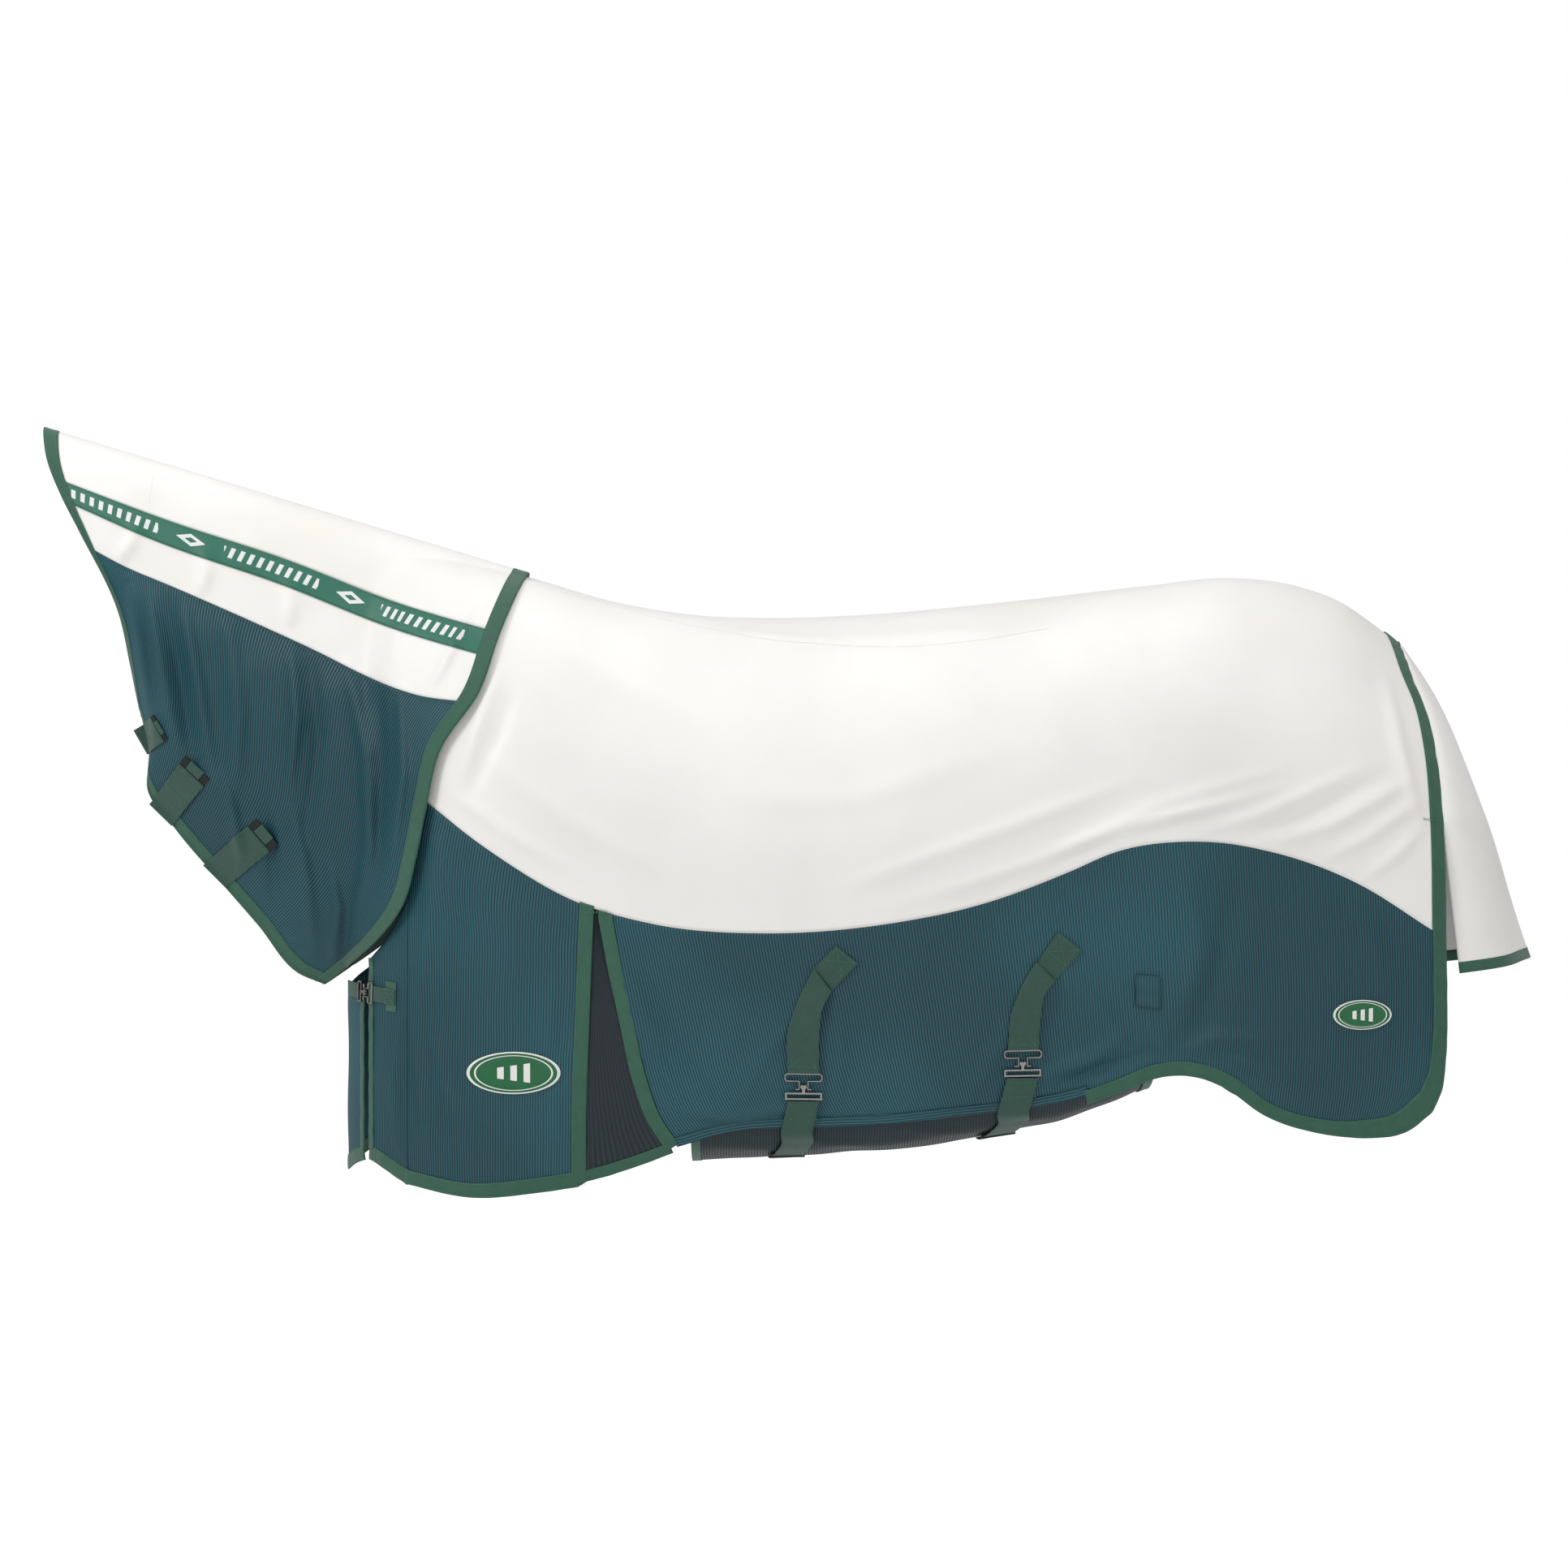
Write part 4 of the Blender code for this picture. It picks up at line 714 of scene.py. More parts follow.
def shoulder_flat(columns, rows):
    """Places of the shoulder panel, from the front flap's hinge back to the gusset."""
    top = seam_run(-0.59, SHOULDER_REAR[0][0], columns)
    hem = laid_line(SHOULDER_HEM, columns)
    rear = laid_line(SHOULDER_REAR, rows)
    front = np.vstack([laid_line(NECKLINE_FOOT, 8)[:-1],
                       laid_line([(FLAP_HINGE_X, HINGE_TOP), (FLAP_HINGE_X, HINGE_FOOT)], rows - 7)])
    front = resampled(front, rows)
    top[0], top[-1], hem[0], hem[-1] = front[0], rear[0], front[-1], rear[-1]
    return coons(top, hem, front, rear)


def chest_places(angles, heights):
    """Places on the form at angles round the chest: 0 at the shoulder, 90 at its front."""
    x = CHEST_TURN - CHEST_REACH * np.sin(np.radians(angles))
    g = laid(np.stack([x, heights], axis=1))[:, 1]
    return np.stack([CHEST_TURN - angles / 90 * CHEST_GIRTH, g], axis=1)


def flap_flat(last_angle, columns, rows):
    start = math.degrees(math.asin((CHEST_TURN - FLAP_HINGE_X) / CHEST_REACH))
    angles = np.linspace(start, last_angle, columns)
    top, foot = chest_places(angles, FLAP_NECKLINE(angles)), chest_places(angles, FLAP_HEM(angles))
    hinge = laid_line([(FLAP_HINGE_X, HINGE_TOP), (FLAP_HINGE_X, HINGE_FOOT)], rows)
    top[0], foot[0] = hinge[0], hinge[-1]
    return coons(top, foot, hinge, np.linspace(top[-1], foot[-1], rows))


def drawn_on(line, before, after):
    """The line with its two ends carried straight on."""
    first, last = line[0] - line[1], line[-1] - line[-2]
    start, stop = (way / np.linalg.norm(way) * by for way, by in ((first, before), (last, after)))
    return np.vstack([line[0] + start, line, line[-1] + stop])


TAPE_THICK = 0.0024
TAPE_LIFT = 0.0008
TAPE_CROWN = 0.0006
TAPE_PUCKER = 0.0006
TAPE_STEP = 0.006


def tape_piece(name, line, side, look, width, nodes, seed, ride=None, over=SEWN_OVER, reach=None, sunk=0.0):
    """Binding folded over an edge: a rounded tape that takes in a little of the cloth beside it."""
    line = np.asarray(line, float)
    if reach:
        line = drawn_on(line, *reach)
    length = np.linalg.norm(np.diff(trunk(line, side), axis=0), axis=1).sum()
    line = resampled(line, max(12, int(length / TAPE_STEP)))
    places = np.linspace(-over, width, 9)
    flat = np.stack([offset_line(line, place) for place in places], axis=1)
    flat[..., 1] = np.maximum(flat[..., 1], 0.0004)
    points = trunk(flat, side)
    along = np.arange(len(line))
    crown = TAPE_CROWN * np.sin(np.linspace(0, math.pi, len(places))) ** 0.5
    pucker = TAPE_PUCKER * np.sin(along * 0.9 + seed) * np.sin(along * 0.23 + 2 * seed)
    rise = crown[None, :] + pucker[:, None] + TAPE_LIFT - sunk
    grid = points + trunk_out(flat, side) * rise[..., None]
    obj = grid_piece(name, grid, lengths_uv(grid)[..., ::-1], look, flip=side == RIGHT, thick=TAPE_THICK)
    if nodes:
        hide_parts(*nodes)
    if ride:
        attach(obj, ride)
    return obj


STITCH_LINES = []
BAR_TACKS = [((-0.306, -0.478), (-0.276, -0.478)), ((1.036, -0.330), (1.056, -0.332))]


def stitch_along(line, side, body, thread, out=0.0026, by=0.0):
    """Keeps a line of stitches on the form for later: points, thread and body."""
    line = offset_line(line, by) if by else np.asarray(line, float)
    points = trunk(line, side) + trunk_out(line, side) * out
    STITCH_LINES.append((body, thread, points))


def body_sheet(side, word):
    rows = 90
    shoulder = shoulder_flat(90, rows)
    flap_end = math.degrees(math.asin((CHEST_TURN - FLAP_EDGE_X) / CHEST_REACH)) if side == LEFT else 120
    flap = flap_flat(flap_end, 30 if side == LEFT else 110, 80)
    shoulder_obj = body_piece(f"shoulder_{word}", shoulder, side, SIDE_MESH, SHOULDER_CREASES, 21,
                              [f"shoulder_panel_{word}"], "teal_mesh", height=0.002)
    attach(shoulder_obj, "body_sheet")
    flap_obj = body_piece(f"front_{word}", flap, side, SIDE_MESH, SHOULDER_CREASES, 23,
                          [f"front_flap_{word}"], "teal_mesh", height=0.002)
    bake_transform(flap_obj)
    tape = tape_piece(f"front_hem_{word}", flap[::-1, -1], side, BINDING_TAPE, BINDING,
                      [f"front_flap_binding_{word}"], 3, reach=(0.002, 0.008), sunk=0.0005)
    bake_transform(tape)
    tape_piece(f"front_edge_{word}", flap[-1], side, BINDING_TAPE, 0.004, (), 5, over=0.009,
               ride=f"front_flap_{word}")

    start_x = GUSSET_TOP + BINDING + 0.0008
    side_front = np.vstack([laid([(start_x, SEAM(start_x))]),
                            laid_line([(GUSSET_TOP + BINDING, -0.49)] + GUSSET_REAR, rows - 1)])
    side_front = resampled(side_front, rows)
    seam = seam_run(start_x, REAR_TOP[-1][0], 250)
    hem_line = hem_run(GUSSET_REAR[-1][0], REAR_FOOT[-1][0], 250)
    side_rear = laid_line(REAR_FOOT, rows)
    seam[0], seam[-1], hem_line[0], hem_line[-1] = side_front[0], side_rear[0], side_front[-1], side_rear[-1]
    panel = body_piece(f"side_{word}", coons(seam, hem_line, side_front, side_rear), side, SIDE_MESH,
                       SIDE_CREASES, 31, [f"side_panel_{word}"], "teal_mesh", height=0.0022, pitch=0.2)
    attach(panel, "body_sheet")

    shoulder_rear = laid_line(SHOULDER_REAR, 60)
    shoulder_edge = np.vstack([laid_line(SHOULDER_HEM, 40)[:-1], shoulder_rear[::-1]])
    tape_piece(f"shoulder_binding_piece_{word}", shoulder_edge, side, BINDING_TAPE, BINDING,
               [f"shoulder_binding_{word}"], 7, ride="body_sheet", reach=(0.004, 0.001))
    tape_piece(f"gusset_binding_piece_{word}", side_front, side, BINDING_TAPE, BINDING,
               [f"gusset_binding_{word}"], 9, ride="body_sheet")
    gusset_start = resampled(offset_line(shoulder_rear[::-1], BINDING - 0.003)[::-1], rows)
    gusset_stop = resampled(offset_line(side_front, BINDING - 0.003), rows)
    count = 46
    head = np.linspace(gusset_start[0], gusset_stop[0], count)
    foot = np.linspace(gusset_start[-1], gusset_stop[-1], count)
    gusset_flat = coons(head, foot, gusset_start, gusset_stop)
    gusset = body_piece(f"gusset_{word}", gusset_flat, side, GUSSET_MESH, [], 41,
                        [f"shoulder_gusset_{word}"], "teal_mesh", height=0.002, pitch=0.09, out=-0.0012)
    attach(gusset, "body_sheet")
    tape_piece(f"gusset_hem_{word}", gusset_flat[1:-1, -1], side, BINDING_TAPE, 0.007, (), 11, over=0.010,
               ride="body_sheet", reach=(0.009, 0.009), sunk=0.0008)

    haunch_hem = hem_line[hem_line[:, 0] > HAUNCH_BINDING_START]
    haunch_edge = np.vstack([haunch_hem[:-1], side_rear[::-1][:-1], laid_line(REAR_TOP, 80)[::-1]])
    tape_piece(f"rear_binding_piece_{word}", haunch_edge, side, BINDING_TAPE, BINDING,
               [f"rear_binding_{word}"], 13, ride="body_sheet")
    belly = hem_line[hem_line[:, 0] <= HAUNCH_BINDING_START + 0.01]
    tape_piece(f"belly_hem_{word}", belly, side, SIDE_MESH, 0.003, (), 15, over=0.012, ride="body_sheet")

    stitch_along(seam_run(-0.58, 1.05, 300), side, "body_sheet", "white", 0.0016, by=-0.004)
    for edge in (shoulder_edge, side_front[2:], haunch_edge[:-3]):
        for by in (-0.002, BINDING - 0.002):
            stitch_along(edge, side, "body_sheet", "green", by=by)
    stitch_along(belly, side, "body_sheet", "dark", 0.003, by=-0.009)
    back = laid_line(BACK_SEAM, 300)
    points = trunk(back, side)
    rise = folds(points[:, [0, 2]], TOP_CREASES, 11 + side, 0.22, 0.0016) + 0.001
    STITCH_LINES.append(("body_sheet", "white", points + trunk_out(back, side) * rise[:, None]))
    for start, end in BAR_TACKS:
        for step in (0.0, 0.0012, 0.0024):
            bar = laid(np.linspace(start, end, 8) - (0, step))
            STITCH_LINES.append(("body_sheet", "green", trunk(bar, side) + trunk_out(bar, side) * 0.0034))


# ---------------------------------------------------------------------------------------------
# Tail
# ---------------------------------------------------------------------------------------------

TAIL_CENTRE = [
    (1.024, -0.040), (1.076, -0.118), (1.130, -0.239), (1.172, -0.345), (1.206, -0.455), (1.236, -0.548),
]
TAIL_TACK = -0.333
TAIL_EDGE_FOOT = (1.096, 0.186, -0.566)
FLAP_SAG = 0.018
INSERT_ARCH = 0.012


def tail_cloth():
    """The white cloth over the tail: sewn in above the tacks, and a free flap below them."""
    centre = run(TAIL_CENTRE, 61)
    centre_at = profile(list(zip(-centre[:, 1], centre[:, 0])))
    edges = trunk(offset_line(laid_line(REAR_TOP, 120), -(BINDING - 0.004)), RIGHT)
    count, rows = 90, 60
    heights = np.linspace(-0.05, TAIL_TACK, rows)
    upper = np.stack([np.interp(-heights, -edges[:, 2], column) for column in edges.T], axis=1)
    upper[:, 0] += 0.001
    foot = np.array(TAIL_EDGE_FOOT)
    lower = upper[-1] + (foot - upper[-1]) * np.linspace(0, 1, rows)[1:, None]
    edge = np.vstack([upper, lower])
    below = np.concatenate([np.zeros(rows), np.linspace(0, 1, rows)[1:]])
    middle = edge[:, 2] + np.concatenate([np.linspace(INSERT_ARCH, 0, rows), FLAP_SAG * below[rows:]])
    angle = np.linspace(-1, 1, count) * math.pi / 2
    back = centre_at(-middle)
    x = edge[:, 0, None] + (back - edge[:, 0])[:, None] * np.cos(angle)
    y = edge[:, 1, None] * np.sin(angle)
    z = middle[:, None] + (edge[:, 2] - middle)[:, None] * (1 - np.cos(angle))
    flute = np.sin(angle * 5.0 + 0.8) * 0.006 * below[:, None] ** 1.2
    flute = flute + np.sin(angle * 2.3) * 0.003 * below[:, None]
    wrinkle = sway(np.stack([y, z], axis=-1), 51, 0.14, 0.0022)
    inner = np.cos(angle) ** 0.5
    grid = np.stack([x + (flute + wrinkle) * inner, y, z], axis=-1)
    grid = grid.swapaxes(0, 1)
    obj = grid_piece("tail_cloth", grid, lengths_uv(grid), WHITE)
    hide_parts("tail_insert", "tail_flap")
    way = grid[:, -1] - grid[:, -3]
    way /= np.linalg.norm(way, axis=1)[:, None]
    tape = np.stack([grid[:, -1] + way * by for by in np.linspace(-0.004, 0.014, 6)], axis=1)
    hem = grid_piece("tail_hem", tape, lengths_uv(tape)[..., ::-1], BINDING_TAPE, thick=0.0026)
    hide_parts("tail_flap_binding")
    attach(hem, "tail_flap")
    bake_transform(obj)
    normal = np.cross(np.gradient(grid[:, -1], axis=0), way)
    normal /= np.linalg.norm(normal, axis=1)[:, None]
    outward = normal[1:-1] * 0.002 * -np.sign(normal[1:-1, :1])
    STITCH_LINES.append(("tail_flap", "green", grid[1:-1, -1] + outward))


# ---------------------------------------------------------------------------------------------
# Neck cover
# ---------------------------------------------------------------------------------------------

POLL = (-1.217, 0.316)
WITHERS = (-0.414, 0.0745)
THROAT_TOP = (-1.060, -0.146)
NECK_FOOT = (-0.752, -0.606)
NECK_FRONT = [
    POLL, (-1.204, 0.260), (-1.177, 0.198), (-1.147, 0.142), (-1.080, 0.0), (-1.067, -0.08), THROAT_TOP,
]
THROAT = [
    THROAT_TOP, (-1.043, -0.223), (-1.045, -0.285), (-1.001, -0.347), (-0.913, -0.45), (-0.861, -0.51),
    (-0.795, -0.588), NECK_FOOT,
]
NECK_BACK = [
    WITHERS, (-0.451, -0.031), (-0.48, -0.124), (-0.545, -0.225), (-0.564, -0.305), (-0.581, -0.387),
    (-0.606, -0.472), (-0.648, -0.525), (-0.70, -0.568), NECK_FOOT,
]
STRIPE_TOP = profile([(-1.20, 0.232), (-0.989, 0.153), (-0.818, 0.097), (-0.614, 0.018), (-0.42, -0.040)])
NECK_SEAM = profile([
    (-1.12, 0.108), (-1.073, 0.083), (-0.993, 0.049), (-0.849, -0.014), (-0.743, -0.063),
    (-0.677, -0.096), (-0.579, -0.132), (-0.50, -0.143),
])
NECK_HALF_WIDTH = profile([(0, 0.085), (0.3, 0.105), (0.7, 0.125), (1, 0.15)])
STRIPE_WIDTH = 0.042
NECK_CLEARANCE = 0.006
THROAT_GAP = 0.006
THROAT_NARROWING = 0.4
MELD = 0.012


def along_line(points):
    """The x and the z of a drawn line, each as a function of the share of its length."""
    shares = np.linspace(0, 1, 61)
    return [profile(list(zip(shares, column))) for column in run(points, len(shares)).T]


throat_at, neck_front_at, neck_back_at = (along_line(line) for line in (THROAT, NECK_FRONT, NECK_BACK))


def neck_flat(u, q):
    """The drawn (x, z) at u along the neck, from the poll back, and q down from the crest to the throat."""
    flat = []
    for k in (0, 1):
        ends = (1 - u) * neck_front_at[k](q) + u * neck_back_at[k](q)
        straight = (1 - u) * THROAT_TOP[k] + u * NECK_FOOT[k]
        flat.append(ends + q * (throat_at[k](u) - straight))
    return np.stack(flat, axis=-1)


def trunk_half_width(flat):
    inside = (BACK_LINE(flat[..., 0]) > flat[..., 1]) & (flat[..., 0] > CHEST_TURN - CHEST_REACH)
    return np.where(inside, trunk(laid(flat), RIGHT)[..., 1], 0.0)


def neck(u, q, side):
    """Points of the neck cover, which stands clear of the shoulders where it overlaps them."""
    u, q = np.broadcast_arrays(np.asarray(u, float), np.asarray(q, float))
    flat = neck_flat(u, q)
    below = np.maximum(0.0, 2 * q - 1)
    power = 0.5 + THROAT_NARROWING * below**2 * (3 - 2 * below)
    own = NECK_HALF_WIDTH(u) * np.maximum(0.0, 1 - (1 - 2 * q) ** 2) ** power
    over = trunk_half_width(flat)
    over = np.where(over > 0, over + NECK_CLEARANCE * (1 + 3 * q), 0.0)
    meld = MELD * np.minimum(1.0, 4 * q * (1 - q))
    y = (own + over + np.sqrt((own - over) ** 2 + meld**2)) / 2
    y = np.maximum(y, THROAT_GAP * q * np.minimum(1, 4 * q))
    return np.stack([flat[..., 0], side * y, flat[..., 1]], axis=-1)


def neck_row(u, line):
    """How far down the neck a drawn line crosses it, at each u along."""
    low, high = np.zeros_like(u), np.ones_like(u)
    for _ in range(40):
        middle = (low + high) / 2
        flat = neck_flat(u, middle)
        under = flat[..., 1] > line(flat[..., 0])
        low, high = np.where(under, middle, low), np.where(under, high, middle)
    return low


def neck_length_down(u):
    rows = np.stack([neck_flat(u, np.full_like(u, q)) for q in np.linspace(0, 1, 9)])
    return np.linalg.norm(np.diff(rows, axis=0), axis=-1).sum(axis=0)


def spaced(low, high, count):
    """Rows from low to high, closer together near the crest, where the cover bends most."""
    turns = np.linspace(np.arccos(1 - 2 * low), np.arccos(1 - 2 * high), count)
    return ((1 - np.cos(turns)) / 2).T


CREST_LENGTH = 0.696


def neck_grid(columns, low, high, rows, side, creases=True, lift=0.0):
    q = spaced(low, high, rows)
    u = np.broadcast_to(columns[:, None], q.shape)
    grid = neck(u, q, side)
    if creases:
        seen = grid[..., [0, 2]]
        ends = np.clip(np.minimum(u - u.min(), u.max() - u) * 24 + 0.25, 0, 1)
        fade = np.clip(q * 9, 0, 1) * ends
        rise = folds(seen, NECK_CREASES, 61 + side, 0.13, 0.0028) * fade
        grid[..., 1] += side * (rise + lift)
    return grid


def mirrored(half):
    return np.concatenate([half[:, :0:-1] * (1, -1, 1), half], axis=1)


CROWN_SEAM = [(-1.029, 0.238), (-1.033, 0.160)]
GORE_SEAM = [(-0.427, 0.060), (-0.446, -0.030)]


def neck_piece(name, grid, look, nodes, flip=False, thick=FABRIC, turn=False, bend=True):
    uv = lengths_uv(grid)
    obj = grid_piece(name, grid, uv[..., ::-1] if turn else uv, look, flip=flip, thick=thick)
    if nodes:
        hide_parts(*nodes)
    if bend:
        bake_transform(obj)
    else:
        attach(obj, "neck_cover")
    return obj


def neck_cover():
    edge = BINDING / CREST_LENGTH
    columns = np.linspace(edge * 0.8, 1 - edge * 0.8, 200)
    zero, one = np.zeros_like(columns), np.ones_like(columns)
    stripe_top = neck_row(columns, STRIPE_TOP)
    stripe_foot = stripe_top + STRIPE_WIDTH / neck_length_down(columns)
    seam = neck_row(columns, NECK_SEAM)
    throat = 1 - BINDING / neck_length_down(columns)
    crest = np.concatenate([neck_grid(columns, zero, stripe_top, 36, side) for side in (LEFT, RIGHT)], axis=1)
    left, right = crest[:, :36], crest[:, 36:]
    grid = np.concatenate([left[:, :0:-1], right], axis=1)
    obj = neck_piece("neck_crest", grid, WHITE, ["neck_crest_panel"])
    for side, word in ((LEFT, "left"), (RIGHT, "right")):
        flip = side == LEFT
        band = neck_piece(f"neck_white_{word}", neck_grid(columns, stripe_foot, seam, 22, side), WHITE,
                          [f"neck_band_{word}"], flip)
        tape = neck_grid(columns, stripe_top, stripe_foot, 10, side, lift=0.0008)
        neck_piece(f"neck_stripe_piece_{word}", tape, STRIPE_TAPE, [f"neck_stripe_{word}"],
                   flip, 0.0018)
        mesh = neck_piece(f"neck_mesh_piece_{word}", neck_grid(columns, seam, throat, 110, side), SIDE_MESH,
                          [f"neck_mesh_{word}"], flip)
        low = neck_grid(columns, throat - 0.006, one, 8, side)
        low[..., 1] += side * 0.0006
        neck_piece(f"throat_binding_piece_{word}", low, BINDING_TAPE, [f"throat_binding_{word}"],
                   flip, 0.0026, turn=True, bend=False)
        stitched = ((stripe_top + 0.002, "green", 0.0024), (stripe_foot - 0.002, "green", 0.0024),
                    (seam + 0.006, "dark", 0.0014), (throat - 0.001, "green", 0.0026))
        for row, thread, out in stitched:
            line = neck_grid(columns, row, row, 1, side)[:, 0]
            line[:, 1] += side * out
            STITCH_LINES.append(("neck_cover", thread, line[2:-2]))
        for ends in (CROWN_SEAM, GORE_SEAM):
            u, q = (np.linspace(first, last, 24) for first, last in neck_place(np.array(ends)))
            line = neck(u, q, side)
            rise = folds(line[:, [0, 2]], NECK_CREASES, 61 + side, 0.13, 0.0028) * np.clip(q * 9, 0, 1)
            line[:, 1] += side * (rise + 0.001)
            STITCH_LINES.append(("neck_cover", "white", line))
    for name, ends, node in (("neck_front_tape", (0.0, edge * 1.15), "neck_front_binding"),
                             ("neck_back_tape", (1 - edge * 1.15, 1.0), "neck_back_binding")):
        across = np.linspace(*ends, 7)
        rows = 150
        half = neck_grid(across, np.zeros(7), np.ones(7), rows, RIGHT, creases=False)
        half[..., 1] += 0.0010 + 0.0005 * np.sin(np.linspace(0, math.pi, 7))[:, None]
        grid = mirrored(half)
        grid[:, rows - 1, 1] = 0
        neck_piece(name, grid, BINDING_TAPE, [node], thick=0.0026, turn=False,
                   bend=name == "neck_back_tape")
        for at in (1, 5):
            line = grid[at].copy()
            line[:, 1] += np.sign(line[:, 1]) * 0.0016
            line[rows - 2 : rows + 1, 2] += 0.0016
            STITCH_LINES.append(("neck_cover", "green", line))


# ---------------------------------------------------------------------------------------------
# Belly wrap
# ---------------------------------------------------------------------------------------------

WRAP_START, WRAP_END = -0.14, 0.60
WRAP_LAP = 0.012
WRAP_CLEARANCE = profile([(0.30, 0.009), (0.48, 0.014), (0.60, 0.016)])
WRAP_FOOT = profile([
    (-0.15, -0.894), (-0.027, -0.889), (0.12, -0.880), (0.255, -0.869), (0.363, -0.849),
    (0.457, -0.831), (0.551, -0.795), (0.60, -0.775),
])


def wrap(x, t, out=0.0):
    """Points of the wrap: t is -1 at its free edge on the left, 0 under the belly and 1 at its sewn edge."""
    x, t = np.broadcast_arrays(np.asarray(x, float), np.asarray(t, float))
    edge_z = HEM(x) + WRAP_LAP
    edge_y = trunk_half_width(np.stack([x, edge_z], axis=-1)) - np.where(t < 0, WRAP_CLEARANCE(x), 0.0032)
    angle = np.abs(t) * math.pi / 2
    y = np.sign(t) * edge_y * np.sin(angle)
    z = WRAP_FOOT(x) + (edge_z - WRAP_FOOT(x)) * (1 - np.cos(angle))
    point = np.stack([x, y, z], axis=-1)
    if out:
        point = point + wrap_out(x, t) * out
    return point


def wrap_out(x, t):
    step = 0.02
    normal = np.cross(wrap(x + step, t) - wrap(x - step, t), wrap(x, t + step) - wrap(x, t - step))
    return -normal / np.linalg.norm(normal, axis=-1, keepdims=True)


WRAP_CREASES = [
    ([(-0.12, -0.86), (0.02, -0.865), (0.14, -0.85)], 0.0035, 0.009),
    ([(0.02, -0.845), (0.14, -0.855), (0.28, -0.84)], 0.0040, 0.009),
    ([(0.20, -0.83), (0.30, -0.835), (0.42, -0.81)], 0.0040, 0.009),
    ([(0.34, -0.82), (0.44, -0.81), (0.56, -0.775)], 0.0035, 0.009),
]


def belly_wrap():
    places, turns = np.linspace(WRAP_START, WRAP_END, 150), np.linspace(-1, 1, 130)
    x, t = np.meshgrid(places, turns, indexing="ij")
    points = wrap(x, t)
    seen = points[..., [0, 2]]
    ease = np.clip(np.minimum(np.arange(130), np.arange(130)[::-1]) / 8, 0.1, 1)[None, :]
    rise = folds(seen, WRAP_CREASES, 71, 0.11, 0.0030) * ease
    grid = points + wrap_out(x, t) * rise[..., None]
    # The wrap cloth takes the darker mesh colour, painted shade under the belly.
    obj = grid_piece("wrap_cloth", grid, lengths_uv(grid), SHADED_WRAP_MESH)
    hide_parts("belly_wrap")
    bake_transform(obj)
    for word, place in (("front", WRAP_START), ("rear", WRAP_END)):
        across = place + np.linspace(-0.002, 0.013, 6) * (1 if word == "front" else -1)
        x, t = np.meshgrid(across, turns[6:-10], indexing="ij")
        edge = wrap(x, t, 0.0016)
        hem = grid_piece(f"wrap_edge_{word}", edge, lengths_uv(edge), BINDING_TAPE, thick=0.0022)
        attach(hem, "belly_wrap")


# ---------------------------------------------------------------------------------------------
# Straps
# ---------------------------------------------------------------------------------------------

WEBBING = 0.050
WEBBING_THICK = 0.0018
STRAP_OUT = 0.0028
UPPER_OUT = 0.0050
LOWER_STRAP_OUT = 0.0078


RIBBON_COLUMNS = 9


def between_edges(left, right, rows):
    """A ribbon in the side view between two edge lines."""
    left, right = run(left, rows), run(right, rows)
    shares = np.linspace(0, 1, RIBBON_COLUMNS)[None, :, None]
    return left[:, None] * (1 - shares) + right[:, None] * shares


def ribbon(name, grid, look, nodes=(), thick=WEBBING_THICK, turn=False):
    uv = lengths_uv(grid)
    if turn:
        uv = uv[..., ::-1]
    obj = grid_piece(name, grid, uv, look, thick=thick)
    soften(obj)
    if nodes:
        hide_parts(*nodes)
    return obj


SOFT_EDGE = 0.0005


def soften(obj):
    """Rounds the cut edges a little."""
    bevel = obj.modifiers.new("edge", "BEVEL")
    bevel.width = SOFT_EDGE
    bevel.segments = 2
    bevel.limit_method = "ANGLE"
    bevel.angle_limit = math.radians(50)
    settled(obj)


def on_left(flat, out):
    places = laid(flat)
    return trunk(places, LEFT) + trunk_out(places, LEFT) * np.asarray(out)[..., None]


UPPER_STRAPS = {
    "front": dict(
        sewn=[(0.0910, -0.5310), (0.1255, -0.5590)], fold=[(0.0557, -0.5670), (0.0777, -0.6085)],
        left=[(0.0557, -0.5670), (0.0300, -0.6200), (0.0150, -0.6640), (0.0143, -0.7350)],
        right=[(0.0840, -0.6030), (0.0700, -0.6300), (0.0650, -0.6650), (0.0643, -0.7350)],
        clip=(0.0395, -0.734), foot_x=0.006),
    "rear": dict(
        sewn=[(0.4430, -0.5080), (0.4820, -0.5390)], fold=[(0.4080, -0.5620), (0.4390, -0.5860)],
        left=[(0.4080, -0.5560), (0.3860, -0.5950), (0.3700, -0.6350), (0.3645, -0.6970)],
        right=[(0.4390, -0.5860), (0.4230, -0.6050), (0.4160, -0.6450), (0.4135, -0.6970)],
        clip=(0.389, -0.696), foot_x=0.345),
}
LOWER_STRAP_ROWS = (-0.66, -0.58, -0.50, -0.36)
LOWER_STRAP_END = -0.31


def cross_stitch(corners, body, thread, surface):
    """A square of stitches with a cross in it, through four corners on a surface."""
    a, b, c, d = (np.array(corner, float) for corner in corners)
    for start, end in ((a, b), (b, c), (c, d), (d, a), (a, c), (b, d)):
        STITCH_LINES.append((body, thread, surface(np.linspace(start, end, 14))))


